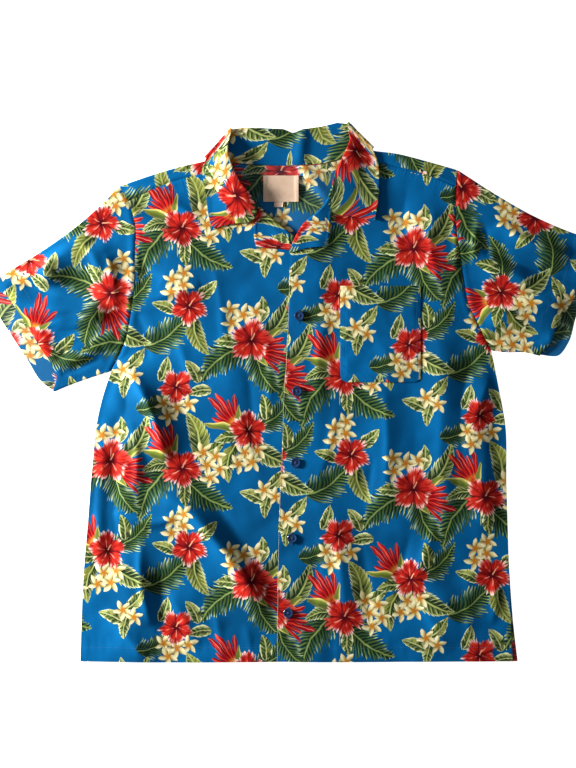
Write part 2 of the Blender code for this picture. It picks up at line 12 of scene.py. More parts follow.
import bpy
import numpy as np
from mathutils.bvhtree import BVHTree
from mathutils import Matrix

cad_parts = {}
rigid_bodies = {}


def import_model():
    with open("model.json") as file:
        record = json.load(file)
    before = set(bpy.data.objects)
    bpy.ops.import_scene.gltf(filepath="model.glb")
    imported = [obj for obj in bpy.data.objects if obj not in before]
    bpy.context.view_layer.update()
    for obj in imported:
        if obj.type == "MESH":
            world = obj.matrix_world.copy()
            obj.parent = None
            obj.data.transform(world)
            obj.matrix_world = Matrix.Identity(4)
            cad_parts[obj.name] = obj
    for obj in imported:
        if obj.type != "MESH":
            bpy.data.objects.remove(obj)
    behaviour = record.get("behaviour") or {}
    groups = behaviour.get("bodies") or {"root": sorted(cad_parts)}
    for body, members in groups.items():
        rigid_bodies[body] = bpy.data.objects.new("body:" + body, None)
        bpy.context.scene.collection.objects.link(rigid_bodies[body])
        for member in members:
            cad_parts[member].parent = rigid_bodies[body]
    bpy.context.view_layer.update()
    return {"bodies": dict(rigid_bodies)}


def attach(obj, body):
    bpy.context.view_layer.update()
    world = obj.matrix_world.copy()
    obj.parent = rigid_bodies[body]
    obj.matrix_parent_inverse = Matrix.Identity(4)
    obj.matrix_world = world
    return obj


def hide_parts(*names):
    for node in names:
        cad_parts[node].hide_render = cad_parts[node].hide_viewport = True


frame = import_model()
body = next(iter(frame["bodies"]))

MM = 0.001

# ---- the solids' driving dimensions, as in the part ----
CLOTH = 1.2
SEAM_GAP = 0.3
LAYER = CLOTH + SEAM_GAP
TURN_GAP = CLOTH + 0.4
BACK_LEVEL = CLOTH / 2
SIDE_LEVEL = BACK_LEVEL + LAYER
BODY_LEVEL = 4.6
SIDE_FALL = 40.0
SEAM_HOLD = 16.0
NECK_LEVEL = 2.65
NECK_RISE_FROM = 284.0
NECK_RISE = 20.0
NECK_MIDDLE = 4.0
NECK_HALF = 150.0
NECK_EASE = 25.0
OVERLAP_END = 68.0
OVERLAP_SLOPE = 26.0
BREAK_LIFT = 3.2
BREAK_END = 120.0
BREAK_SLOPE = 75.0
BREAK_FROM = 128.0
BREAK_RISE = 62.0
COLLAR_UNDER_LEVEL = 1.7
COLLAR_HALF = 0.95
COLLAR_EASE = 0.15
FACING_RETURN = 6.0
PLACKET = 34.0
BUTTON_DIAMETER = 14.0
BUTTON_THICKNESS = 2.4
BUTTON_HOLE = 1.9
BUTTON_HOLE_SPACING = 3.2
POCKET_EASE = 0.35
LABEL_LEAD = 12.0

# ---- the shells ----
ALONG_FINE = 7
ACROSS_FINE = 7
ARMHOLE_PARTS = 12
FRONT_PARTS = 18
FRONT_COLUMNS = 18 * ACROSS_FINE
ROLL_PARTS = 8
TURN_STEPS = 7
SHELL = 0.8
COLLAR_SHELL = 0.9
FLOOR_GAP = 0.16
LOWEST_FRONT = 2.2
CREASE_RISE = 1.4
UNDER_LIFT = 0.16
LABEL_SHELL = 0.7
LABEL_RISE = (CLOTH + LABEL_SHELL) / 2 + SEAM_GAP + 0.3
HEM_DEPTH = 22.0
SLEEVE_HEM_DEPTH = 26.0
HEM_STITCH = 2.0
POCKET_HEM = 24.0
POCKET_DROP = 0.85
EDGE_STITCH = 5.0
EDGE_BEAD = 0.35
PLACKET_EDGE = -0.25
PANEL_SEED = 3
# About how long the lines are that puckers run along
SEAM_RUN = 300
EDGE_RUN = 600
ARMHOLE_RUN = 260
CUFF_RUN = 180
STAND_COLUMNS = 8
ROLLED_COLUMNS = 8
FALL_COLUMNS = 26
FAR_AWAY = 99.0
COLLAR_STEP = 2.4
COLLAR_BEND_FROM = 9.0
COLLAR_RISE = 5.0
COLLAR_RISE_MORE = 5.5
STANDS_FROM = 246
STANDS_TO = 372
BACK_NECK = 318
BACK_NOTCH = 3.0
NOTCH_PLACE = (19, 330)
BUTTON_SIDES = 48
# From the middle of the top, over the rim, to the middle of the foot.
# Columns: share of the radius, share of the height
BUTTON_PROFILE = [
    (0.0, 0.66), (0.5, 0.66), (0.62, 0.69), (0.70, 0.80), (0.77, 0.95), (0.84, 1.0), (0.92, 0.97),
    (0.985, 0.80), (1.0, 0.5), (0.97, 0.2), (0.86, 0.02), (0.0, 0.0),
]

# ---- colours ----
GROUND_DEEP = (0.0005, 0.092, 0.225)
GROUND_LIT = (0.0005, 0.124, 0.305)
INNER_SIDE = (0.25, 0.38, 0.50)

# ---- the pitch of the weaves, in metres ----
WEAVE_PITCH = 0.0005
TAPE_PITCH = 0.0007

# ---- where on the print each piece was cut, in millimetres ----
BACK_SHIFT = (60.0, 90.0)
LEFT_SHIFT = (-30.0, 40.0)
POCKET_SHIFT = (70.0, -60.0)
COLLAR_SHIFT = (20.0, 30.0)
LAPEL_RIGHT_SHIFT = (90.0, 10.0)
LAPEL_LEFT_SHIFT = (30.0, 70.0)
SLEEVE_RIGHT_SHIFT = (10.0, 20.0)
SLEEVE_LEFT_SHIFT = (80.0, 150.0)

# ---- threads ----
STITCH_PITCH = 3.3
STITCH_LENGTH = 2.5
STITCH_RADIUS = 0.19
THREAD_RADIUS = 0.2
BUTTONHOLE_LENGTH = 18.0
BUTTONHOLE_PITCH = 0.42

# ---- outlines. Columns: x, y. Right and left are the wearer's, so right is at -X. ----
SIDE_RIGHT = [
    (-292.5, -382), (-291, -330), (-288, -260), (-282, -187), (-275, -99), (-269, -43), (-259, -1),
    (-248, 31),
]
SIDE_LEFT = [
    (321, -382), (318.5, -332), (315, -230), (312, -129), (310, -43), (302, 1), (295, 37), (290, 60),
]
SIDE_LEFT_BACK = [
    (328, -382), (322.5, -335), (315, -230), (312, -129), (310, -43), (302, 1), (295, 37), (290, 60),
]
ARMHOLE_RIGHT = [(-248, 31), (-231, 67), (-218, 131), (-215, 202), (-216, 240), (-224, 270), (-236, 290)]
ARMHOLE_LEFT = [(290, 60), (275, 88), (258, 123), (250, 159), (242, 220), (239, 271), (241, 313)]
SHOULDER_RIGHT = [(-236, 290), (-170, 312), (-109, 328)]
SHOULDER_LEFT = [(117, 342), (160, 335), (195, 326), (241, 313)]
SEAM_RIGHT = [(-226, 273), (-166, 297), (-107, 313)]
SEAM_LEFT = [(117, 327), (157, 320), (191, 311), (240, 297)]
NECK_BACK = [(-109, 328), (-88, 326), (-50, 322), (0, 321), (50, 323), (92, 334), (117, 342)]
HEM_BACK = [(-292.5, -382), (-150, -383), (0, -382.5), (160, -383), (328, -382)]
HEM_RIGHT = [(-292.5, -382), (-150, -383), (-40, -382), (20, -381)]
HEM_LEFT = [(-14, -382), (60, -383), (180, -382.5), (321, -382)]
FRONT_EDGE_LEFT = [
    (-14, -382), (-11.5, -204), (-9, -129), (-6, -71), (-4.5, -6), (-2, 26), (1, 80), (4, 165), (5, 197),
]
ROLL_LEFT = [(5, 197), (13, 217), (26, 238), (45, 254), (57, 268), (64.5, 287)]
NECK_SEAM_LEFT = [(72, 282), (84, 292), (98, 306), (117, 327)]
ROLL_RIGHT = [(34, 198), (15, 215), (-4, 231), (-22, 246), (-39.6, 262.5)]
NECK_SEAM_RIGHT = [(-47, 257.5), (-67, 274), (-85, 288), (-107, 313)]
# Each lapel's outer edge and its lower edge
LAPEL_LEFT = [(59, 206), (62, 230), (64, 253)], [(5, 197), (30, 204), (59, 206)]
LAPEL_RIGHT = [(-43, 204.5), (-46.3, 222), (-46, 243.5)], [(34, 198), (0, 202), (-43, 204.5)]

# ---- the collar. Columns: neck seam x, y; roll x, y; three points over the fall x, y ----
COLLAR_RIGHT = [
    (-46.5, 258.5, -40.5, 264, -47, 244.5, -80, 238, -106, 231),
    (-65, 276, -55, 283, -66, 268, -88, 254, -110.5, 250),
    (-82, 291, -67, 298, -80, 288, -98, 279, -114, 276),
    (-97, 307, -79, 322, -90, 312, -105, 304, -118, 301),
    (-103.5, 322, -84, 347, -93, 339, -107, 328, -119.5, 318),
]
COLLAR_BACK = [
    (-88, 327, -62, 374, -74, 354, -88, 333, -100, 314),
    (-50, 323, -38, 373.5, -46, 350, -54, 330, -60, 309),
    (0, 322, -5, 372, -3, 350, -2, 330, 0, 309),
    (6, 322, 9, 366, 8, 348, 7, 330, 6, 309),
    (12, 322, 22, 371.5, 18, 350, 14, 330, 12, 309),
    (50, 324, 52, 376, 54, 352, 56, 331, 58, 310),
    (92, 335, 72, 381, 82, 360, 94, 338, 103, 322),
]
COLLAR_LEFT = [
    (111, 337, 91, 358, 101, 350, 115, 340, 128, 331),
    (106, 320, 82, 336, 98, 326, 116, 318, 131, 311),
    (95.5, 307.5, 73, 316, 92, 306, 112, 298, 130.5, 291),
    (82, 293.5, 67, 301, 86, 287, 108, 274, 129, 266),
    (71.5, 284.5, 65.5, 289, 65.4, 254.6, 96, 248, 125, 242),
]
# The folds where the collar turns under itself beside each shoulder. Columns: top x, y; foot x, y
COLLAR_TURN_RIGHT = (-80.5, 374, -116, 333.5)
COLLAR_TURN_LEFT = (89, 382, 124, 347)
# Where the neck seam, the roll and the three points over the fall lie along a turn, from 0 to 1
COLLAR_TURN_PARTS = (0.93, 0.0, 0.35, 0.7, 1.0)

# ---- sleeves. Columns: x, y ----
SLEEVE_RIGHT = {
    "armhole": ARMHOLE_RIGHT,
    "over": [(-236.35, 290), (-279, 248), (-337, 204), (-397, 167), (-432, 146)],
    "under": [(-248.35, 31), (-280, 21), (-309, 11), (-331, 2)],
    "front_hem": [(-432, 146), (-400, 139), (-380, 114), (-362, 84), (-339, 48), (-326, 22), (-331, 2)],
    "back_hem": [(-432, 146), (-404, 101), (-368, 46), (-347, 14), (-331, 2)],
    "side": -1,
}
SLEEVE_LEFT = {
    "armhole": ARMHOLE_LEFT,
    "over": [(241.35, 313), (303, 274), (347, 249), (382, 233), (432, 214)],
    "under": [(290.35, 60), (312, 57.5), (336, 58), (360, 53)],
    "front_hem": [(432, 214), (424, 178), (409, 136), (384, 96), (374, 70), (360, 53)],
    "back_hem": [(432, 214), (425, 152), (410, 104), (400, 70), (386, 52), (360, 53)],
    "side": 1,
}
# How high the front layer lies at the overarm and the underarm, at the armhole and then at the cuff
SLEEVE_LEVELS = (BODY_LEVEL, SIDE_LEVEL, 4.2, 3.6)

# ---- the largest folds. Columns: height, half width, the points x, y that each runs through ----
FOLDS_RIGHT = [
    (3.5, 20, [(-250, 24), (-240, -12)]),
    (5.0, 22, [(-209, -10), (-193, -42), (-177, -76)]),
    (3.5, 20, [(-224, -95), (-219, -150)]),
    (5.5, 24, [(-165, -164), (-133, -181), (-101, -204), (-76, -238), (-48, -282)]),
    (4.5, 22, [(-231, -250), (-219, -290), (-206, -310)]),
    (3.0, 22, [(-224, -348), (-204, -370)]),
    (2.5, 36, [(-150, 150), (-120, 60)]),
    (2.0, 30, [(-80, 60), (-70, -60)]),
]
FOLDS_LEFT = [
    (2.6, 24, [(140, -20), (143, -160)]),
    (3.2, 24, [(221, 60), (226, -150)]),
    (3.5, 22, [(270, -60), (284, -180)]),
    (2.2, 30, [(66, -170), (82, -330)]),
    (3.4, 24, [(200, -240), (230, -330)]),
    (3.6, 20, [(290, 24), (268, -30)]),
    (3.0, 26, [(200, 230), (222, 120)]),
]
FOLDS_SLEEVE_RIGHT = [
    (5.0, 22, [(-392, 166), (-345, 170)]),
    (6.0, 22, [(-385, 126), (-318, 114), (-275, 112)]),
    (3.5, 22, [(-262, 200), (-258, 140)]),
    (3.0, 20, [(-300, 60), (-262, 70)]),
]
FOLDS_SLEEVE_LEFT = [
    (4.5, 24, [(300, 240), (380, 200)]),
    (5.0, 22, [(300, 110), (376, 114)]),
    (3.5, 24, [(290, 176), (346, 156)]),
]

# Columns: left, right, bottom, top, and how far the pocket's lower corners are cut off
POCKET = (76.0, 190.0, 14.0, 150.5, 9.0)
LABEL = (-33.0, 17.0, 270.0, 307.0)
SIZE_TAB = (-17.5, -5.0, 262.5, 269.4)
BUTTONS = [(18, 108), (15, 1), (13, -100), (8, -207), (2.5, -313)]

# ---- finer creases. Columns: height, half width to the left and right of the line, the points x, y ----
CREASES_NECK = [
    (2.2, 13, 7, [(20, 336), (27, 312), (44, 292), (62, 268)]),
    (1.0, 12, 7, [(-40, 312), (-52, 290), (-58, 266)]),
]
CREASES_RIGHT = [
    # From the armpit down the side
    (6.0, 14, 8, [(-234, 46), (-219, 24), (-201, -8), (-183, -50), (-172, -98)]),
    (4.0, 12, 6, [(-258, 10), (-263, -60), (-268, -130), (-271, -200), (-262, -270)]),
    (-2.8, 7, 12, [(-240, -30), (-243, -100), (-247, -190), (-243, -270)]),
    (2.5, 12, 6, [(-222, -40), (-213, -84), (-214, -140)]),
    # The long one from the side to the hem
    (7.5, 18, 12, [
        (-200, -138), (-172, -148), (-138, -168), (-104, -208), (-80, -238), (-56, -270), (-26, -318),
    ]),
    (-3.0, 10, 19, [(-146, -120), (-100, -164), (-66, -216), (-36, -266), (-12, -320)]),
    (3.2, 6, 8, [(-254, -168), (-216, -181), (-184, -186), (-156, -174)]),
    (-1.8, 8, 10, [(-230, -200), (-180, -214), (-140, -236), (-116, -280)]),
    # Above the hem
    (4.2, 14, 7, [(-206, -206), (-208, -246), (-203, -290), (-192, -330)]),
    (-2.0, 7, 13, [(-180, -250), (-178, -300), (-172, -350)]),
    (2.4, 13, 7, [(-166, -286), (-148, -318), (-128, -366)]),
    (2.8, 11, 7, [(-262, -312), (-232, -340), (-200, -376)]),
    (1.6, 12, 6, [(-104, -300), (-96, -340), (-90, -378)]),
    (1.2, 12, 6, [(-60, -330), (-52, -356), (-48, -380)]),
    # Below the shoulder and along the armhole
    (3.0, 11, 9, [(-228, 284), (-190, 277), (-152, 263), (-122, 240)]),
    (-2.0, 10, 10, [(-216, 262), (-180, 254), (-150, 240)]),
    (2.8, 9, 9, [(-214, 234), (-180, 230), (-142, 206)]),
    (3.5, 12, 6, [(-234, 222), (-229, 186), (-224, 150), (-226, 110)]),
    (-2.0, 7, 13, [(-208, 200), (-200, 174), (-176, 160)]),
    (3.0, 8, 10, [(-220, 142), (-188, 135), (-152, 142), (-122, 152)]),
    (-2.2, 7, 13, [(-212, 112), (-200, 76), (-196, 44)]),
    (1.6, 12, 6, [(-180, 100), (-150, 60), (-136, 0)]),
    (-1.2, 8, 16, [(-160, 0), (-140, -40), (-134, -84)]),
    # Beside the placket
    (1.5, 13, 7, [(-104, 190), (-92, 110), (-90, 20)]),
    (-1.2, 8, 14, [(-62, 70), (-50, -10), (-46, -90)]),
    (1.4, 12, 6, [(-32, 96), (-25, 30), (-26, -60)]),
    (1.1, 10, 6, [(-70, -20), (-52, -80), (-40, -120)]),
]
CREASES_LEFT = [
    (1.6, 12, 6, [(138, 2), (142, -60), (139, -150)]),
    (-1.6, 6, 12, [(122, -90), (118, -126), (112, -160)]),
    (0.8, 14, 7, [(214, 100), (219, 0), (217, -110), (222, -212)]),
    (-0.7, 8, 14, [(240, -60), (242, -130), (246, -190)]),
    (2.2, 12, 6, [(212, -180), (196, -226), (176, -280)]),
    (-1.3, 6, 10, [(176, -200), (166, -240), (150, -280)]),
    (1.3, 11, 6, [(296, 36), (274, -16), (264, -60)]),
    (-1.0, 6, 10, [(276, 60), (254, 14), (246, -36)]),
    (0.7, 14, 8, [(284, -60), (278, -130), (286, -200)]),
    (2.4, 13, 7, [(292, -262), (298, -296), (290, -330)]),
    (1.4, 13, 7, [(58, -150), (74, -230), (84, -330)]),
    (-1.2, 8, 16, [(100, -190), (114, -260), (118, -350)]),
    (1.6, 13, 7, [(190, -290), (206, -326), (230, -370)]),
    (-1.1, 7, 13, [(40, -200), (44, -270), (36, -330)]),
    (1.2, 13, 7, [(262, -240), (256, -300), (262, -366)]),
    (1.6, 13, 7, [(208, 262), (204, 204), (218, 140)]),
    (-1.2, 7, 13, [(170, 290), (166, 226), (182, 174)]),
    (1.1, 13, 7, [(60, 118), (46, 60), (44, -20)]),
    (1.2, 12, 6, [(236, 250), (240, 200), (232, 150)]),
    (1.0, 10, 6, [(70, -20), (62, -70), (46, -120)]),
]
CREASES_SLEEVE_RIGHT = [
    (2.4, 15, 19, [(-402, 170), (-344, 186), (-292, 190), (-256, 182)]),
    (-3.9, 12, 10, [(-396, 148), (-330, 150), (-262, 152)]),
    (2.6, 10, 10, [(-392, 124), (-330, 117), (-286, 114), (-258, 106)]),
    (-3.0, 10, 8, [(-350, 90), (-306, 86), (-268, 90)]),
    (6.0, 42, 13, [(-350, 210), (-340, 172), (-346, 142)]),
    (4.0, 40, 12, [(-354, 92), (-344, 68), (-326, 46)]),
    (2.4, 10, 6, [(-256, 196), (-246, 160), (-242, 120)]),
    (2.5, 6, 10, [(-340, 44), (-300, 46), (-262, 64)]),
    (-2.0, 9, 5, [(-320, 24), (-288, 36), (-262, 48)]),
    (2.2, 13, 7, [(-304, 222), (-278, 200), (-262, 160)]),
    (2.1, 7, 11, [(-376, 206), (-340, 222), (-300, 244)]),
]
CREASES_SLEEVE_LEFT = [
    (4.2, 11, 9, [(296, 240), (340, 214), (404, 196)]),
    (-3.2, 10, 10, [(284, 206), (330, 180), (410, 166)]),
    (4.5, 8, 10, [(296, 118), (344, 124), (412, 122)]),
    (2.8, 10, 5, [(270, 250), (266, 214), (264, 180)]),
    (2.1, 9, 9, [(286, 176), (318, 168), (352, 152)]),
    (-2.8, 8, 7, [(292, 86), (326, 80), (372, 78)]),
    (2.2, 7, 7, [(296, 66), (330, 64), (356, 60)]),
    (-1.8, 5, 9, [(282, 236), (284, 208), (288, 186)]),
]


# ---- curves and grids ----
def smooth(t):
    """A soft step: 0 below 0 and 1 above 1."""
    t = np.clip(t, 0.0, 1.0)
    return t * t * (3.0 - 2.0 * t)


def bell(distance, width):
    """1 at no distance, and falling away on both sides."""
    return np.exp(-((distance / width) ** 2))


def xy(points):
    return points[..., 0], points[..., 1]


def unit(run):
    return run / np.linalg.norm(run)


def distances(points):
    """How far along a line each of its points lies."""
    return np.concatenate([[0.0], np.cumsum(np.linalg.norm(np.diff(points, axis=0), axis=1))])


def distances_across(grid):
    """How far along its row each point of a grid lies."""
    steps = np.linalg.norm(np.diff(grid, axis=1), axis=2)
    return np.concatenate([np.zeros((len(grid), 1)), np.cumsum(steps, axis=1)], axis=1)


def spread(table, count):
    """count + 1 points, evenly spaced by length, on a smooth curve through a table's points."""
    table = np.array(table, float)
    if len(table) == 2:
        return table[0] + np.linspace(0.0, 1.0, count + 1)[:, None] * (table[1] - table[0])
    chord = np.linalg.norm(np.diff(table, axis=0), axis=1)
    knots = np.concatenate([[0.0], np.cumsum(chord)])
    slopes = np.gradient(table, knots, axis=0)
    t = np.linspace(0.0, 1.0, 41)[:, None]
    fine = np.concatenate([
        (2 * t**3 - 3 * t**2 + 1) * table[i]
        + (t**3 - 2 * t**2 + t) * slopes[i] * chord[i]
        + (3 * t**2 - 2 * t**3) * table[i + 1]
        + (t**3 - t**2) * slopes[i + 1] * chord[i]
        for i in range(len(table) - 1)
    ])
    length = distances(fine)
    places = np.linspace(0.0, length[-1], count + 1)
    return np.stack([np.interp(places, length, column) for column in fine.T], axis=1)


def joined(*runs):
    """Several runs of points as one, each without the point that it shares with the one before it."""
    return np.concatenate([runs[0]] + [run[1:] for run in runs[1:]])


def patch(left, right, bottom, top):
    """The grid between four edges: rows run from the bottom to the top, columns from left to right."""
    left, right, bottom, top = (np.array(edge, float) for edge in (left, right, bottom, top))
    v = np.linspace(0.0, 1.0, len(left))[:, None, None]
    u = np.linspace(0.0, 1.0, len(bottom))[None, :, None]
    across = (1 - u) * left[:, None] + u * right[:, None]
    along = (1 - v) * bottom[None] + v * top[None]
    corners = (
        (1 - u) * (1 - v) * bottom[0]
        + u * (1 - v) * bottom[-1]
        + (1 - u) * v * top[0]
        + u * v * top[-1]
    )
    return across + along - corners


def rectangle(box, columns, rows):
    """An even grid over a box's plan."""
    left, right, low, high = box[:4]
    across, along = np.linspace(left, right, columns), np.linspace(low, high, rows)
    return np.stack(np.meshgrid(across, along), axis=-1)


def nearest(line, x, y):
    """How far each point is from a line, which side it is on, and how far along it lies, 0 to 1."""
    line = np.array(line, float)
    lengths = np.linalg.norm(np.diff(line, axis=0), axis=1)
    starts = np.concatenate([[0.0], np.cumsum(lengths)])
    away = np.full(np.shape(x), 1e9)
    side = np.zeros(np.shape(x))
    along = np.zeros(np.shape(x))
    for (ax, ay), (bx, by), length, start in zip(line[:-1], line[1:], lengths, starts):
        t = np.clip(((x - ax) * (bx - ax) + (y - ay) * (by - ay)) / length**2, 0.0, 1.0)
        here = np.hypot(x - ax - t * (bx - ax), y - ay - t * (by - ay))
        closer = here < away
        away = np.where(closer, here, away)
        side = np.where(closer, np.sign((bx - ax) * (y - ay) - (by - ay) * (x - ax)), side)
        along = np.where(closer, (start + t * length) / starts[-1], along)
    return away, side, along


def distance_to(line, x, y):
    return nearest(line, x, y)[0]


# ---- the levels of the layers, as in the part ----
def folds(table, x, y):
    """The height that a table's folds add at (x, y)."""
    height = np.zeros(np.shape(x))
    for top, width, line in table:
        height = np.maximum(height, top * bell(distance_to(line, x, y), width))
    return height


def back_level(x, y):
    """The back lies on the floor, and rises over the collar's fall at the neck."""
    inside = smooth((NECK_HALF - np.abs(x - NECK_MIDDLE)) / NECK_EASE)
    crease = creases(CREASES_NECK, x, y)
    crease = crease + under_ridges(CREASES_RIGHT, x, y) + under_ridges(CREASES_LEFT, x, y)
    over_collar = (NECK_LEVEL - BACK_LEVEL) * inside * smooth((y - NECK_RISE_FROM) / NECK_RISE)
    return crease + BACK_LEVEL + over_collar


def body_level(table, fine, x, y):
    """The fronts lie on the back at the side seams, and stand higher with their folds inside them."""
    away = np.minimum(distance_to(SIDE_RIGHT, x, y), distance_to(SIDE_LEFT, x, y))
    rise = (BODY_LEVEL - SIDE_LEVEL) * (1 - bell(away, SIDE_FALL))
    hold = 1 - bell(away, SEAM_HOLD)
    level = SIDE_LEVEL + rise + (folds(table, x, y) + creases(fine, x, y)) * hold
    return held_up(level)


def held_up(level):
    """Flattens troughs before they reach the layer below."""
    low = LOWEST_FRONT - level
    flat = level + 0.25 * np.clip(low + 1.0, 0.0, 2.0) ** 2 + np.maximum(low - 1.0, 0.0)
    return np.where(low > -1.0, flat, level)


def right_level(x, y):
    return body_level(FOLDS_RIGHT, CREASES_RIGHT, x, y)


def left_level(x, y):
    """The left front also climbs onto the right one, and onto its lapel below the neck."""
    over_placket = (TURN_GAP + SEAM_GAP) * smooth((OVERLAP_END - x) / OVERLAP_SLOPE)
    over_lapel = BREAK_LIFT * smooth((BREAK_END - x) / BREAK_SLOPE)
    over_lapel = over_lapel * smooth((y - BREAK_FROM) / BREAK_RISE)
    return body_level(FOLDS_LEFT, CREASES_LEFT, x, y) + over_placket + over_lapel


# ---- the finer relief of the cloth ----
def creases(table, x, y):
    """Ridges above zero and troughs below it, each steeper on one side and thinning towards its ends."""
    total = np.zeros(np.shape(x))
    for height, left_width, right_width, line in table:
        away, side, along = nearest(spread(line, 8), x, y)
        width = np.where(side > 0, left_width, right_width)
        crest = np.exp(0.6 - np.sqrt(2.4 * (away / width) ** 2 + 0.36))
        total = total + CREASE_RISE * height * np.sin(np.pi * along) ** 0.7 * crest
    return total


def under_ridges(table, x, y):
    """How far the ridges of the cloth above lift the layer that lies on the floor."""
    return UNDER_LIFT * np.clip(creases(table, x, y), 0.0, 5.0)


def ripple(x, y, seed, height=0.35, shortest=22.0, longest=95.0):
    """A faint unevenness that cloth keeps when it is laid out by hand."""
    random = np.random.default_rng(seed)
    total = np.zeros(np.shape(x))
    for _ in range(14):
        length = random.uniform(shortest, longest)
        turn = random.uniform(0.0, math.pi)
        phase = random.uniform(0.0, 2 * math.pi)
        drift = random.uniform(0.0, 2 * math.pi)
        across = x * math.cos(turn) + y * math.sin(turn)
        along = y * math.cos(turn) - x * math.sin(turn)
        patchy = 0.5 + 0.5 * np.sin(along * 2 * math.pi / (2.7 * length) + drift)
        bent = across + 6 * np.sin(along / 40 + drift)
        total = total + height * length / longest * patchy * np.sin(bent * 2 * math.pi / length + phase)
    return total


def seam_relief(away):
    """The dip at a seam, and the ridge of its allowance beside it."""
    return 0.35 * bell(away - 5.5, 3.2) - 0.7 * bell(away, 1.5)


def hem_relief(away, depth):
    """A turned hem: double cloth up to its line of stitches, which draws it in."""
    doubled = 0.4 * smooth((depth + 1.0 - away) / 1.6)
    drawn = 0.4 * bell(away - depth + HEM_STITCH, 1.1)
    rolled = 0.3 * bell(away, 1.2)
    return doubled - drawn - rolled


def under_hem(line, depth, x, y):
    """How a hem lifts the layer that lies on the floor."""
    return 0.3 * hem_relief(distance_to(line, x, y), depth) + 0.25


def edge_bead(rim, crest=2.4, width=2.2, dip=0.5, dip_width=0.8):
    """The thick turned rim of a piece, and the dip along its line of stitches."""
    return EDGE_BEAD * (bell(rim - crest, width) - dip * bell(rim - EDGE_STITCH, dip_width))


def pucker(away, along, seed, reach=16.0):
    """Short ripples that a line of stitches draws into the cloth."""
    random = np.random.default_rng(seed)
    waves = 0
    for _ in range(5):
        height, pitch, phase = (random.uniform(*span) for span in ((0.5, 1.0), (8, 22), (0, 6.3)))
        waves = waves + height * np.sin(along * 2 * math.pi / pitch + phase)
    return 0.075 * waves * bell(away, reach)


# ---- node trees written as arithmetic ----
class Signal:
    """A number in a node tree. Arithmetic on signals adds Math nodes to the tree."""

    def __init__(self, tree, socket):
        self.tree, self.socket = tree, socket

    def op(self, operation, *others):
        return node_math(self.tree, operation, self, *others)

    def __add__(self, other):
        return self.op("ADD", other)

    def __sub__(self, other):
        return self.op("SUBTRACT", other)

    def __rsub__(self, other):
        return node_math(self.tree, "SUBTRACT", other, self)

    def __mul__(self, other):
        return self.op("MULTIPLY", other)

    def __truediv__(self, other):
        return self.op("DIVIDE", other)

    def __pow__(self, power):
        return self.op("POWER", power)

    def __abs__(self):
        return self.op("ABSOLUTE")

    __radd__ = __add__
    __rmul__ = __mul__


def node_math(tree, operation, *values):
    node = tree.nodes.new("ShaderNodeMath")
    node.operation = operation
    for socket, value in zip(node.inputs, values):
        plug(tree, socket, value)
    return Signal(tree, node.outputs[0])


def plug(tree, socket, value):
    """Links a signal or a socket to an input, or sets the input to a number or a colour."""
    if isinstance(value, Signal):
        tree.links.new(value.socket, socket)
    elif isinstance(value, bpy.types.NodeSocket):
        tree.links.new(value, socket)
    else:
        socket.default_value = value


def step(value, low, high):
    """0 below low and 1 above high, softly; the other way round where low is the higher number."""
    node = value.tree.nodes.new("ShaderNodeMapRange")
    node.interpolation_type = "SMOOTHSTEP"
    for socket, given in zip(node.inputs, (value, low, high)):
        plug(value.tree, socket, given)
    return Signal(value.tree, node.outputs[0])


def wave(value):
    return value.op("SINE")


def part_of(value):
    return value.op("FRACT")


def vector(x, y, z=0.0):
    node = x.tree.nodes.new("ShaderNodeCombineXYZ")
    for socket, value in zip(node.inputs, (x, y, z)):
        plug(x.tree, socket, value)
    return node.outputs[0]


def parts_of(tree, socket):
    """The three numbers of a vector."""
    node = tree.nodes.new("ShaderNodeSeparateXYZ")
    tree.links.new(socket, node.inputs[0])
    return [Signal(tree, output) for output in node.outputs]


def noise(tree, place, scale, detail=1.0):
    """Smooth noise from about 0.2 to 0.8."""
    node = tree.nodes.new("ShaderNodeTexNoise")
    tree.links.new(place, node.inputs["Vector"])
    node.inputs["Scale"].default_value = scale
    node.inputs["Detail"].default_value = detail
    return Signal(tree, node.outputs[0])


def mix(factor, first, second):
    """first where the factor is 0 and second where it is 1, as colours."""
    node = factor.tree.nodes.new("ShaderNodeMix")
    node.data_type = "RGBA"
    plug(factor.tree, node.inputs[0], factor)
    for socket, colour in ((node.inputs[6], first), (node.inputs[7], second)):
        plug(factor.tree, socket, (*colour, 1.0) if isinstance(colour, tuple) else colour)
    return node.outputs[2]


# ---- the print's motifs ----
# Each is drawn about (0, 0) with a reach of about 1, and returns its colour and its mask.
def shaken(tree, u, v, seed, scale, amount):
    """A place moved a little by noise, so that a motif looks drawn by hand, and a third noise."""
    node = tree.nodes.new("ShaderNodeTexNoise")
    node.inputs["Scale"].default_value = scale
    node.inputs["Detail"].default_value = 2.0
    tree.links.new(vector(u, v, seed * 60.0), node.inputs["Vector"])
    split = tree.nodes.new("ShaderNodeSeparateColor")
    tree.links.new(node.outputs["Color"], split.inputs[0])
    first, second, third = (Signal(tree, socket) for socket in split.outputs)
    return u + (first - 0.5) * amount, v + (second - 0.5) * amount, third


def far_from(u, v):
    return (u * u + v * v) ** 0.5 + 0.001


def chance(which, seed, spin=5.0):
    """A number from 0 to 1 that differs from one petal or finger to the next."""
    return part_of(which * 0.618 + seed * spin)


def inner(along):
    """A place along a leaf, kept off its two ends."""
    return along.op("MAXIMUM", 0.001).op("MINIMUM", 0.999)


def ended(mask, along):
    """A mask that stops at both ends of a leaf."""
    return mask * step(along, 0.0, 0.02) * step(along, 1.0, 0.98)


def stripe(value, middle, outer, core):
    """1 within core of the middle and 0 beyond outer."""
    return step(abs(value - middle), outer, core)


def five_petals(turn, seed):
    """Where a direction lies in its petal, 0 to 1, how near it is to its middle, and which petal."""
    around = turn * (2.5 / math.pi) + seed * 7.0
    place = part_of(around)
    return place, 1.0 - abs(place * 2.0 - 1.0), around.op("FLOOR")


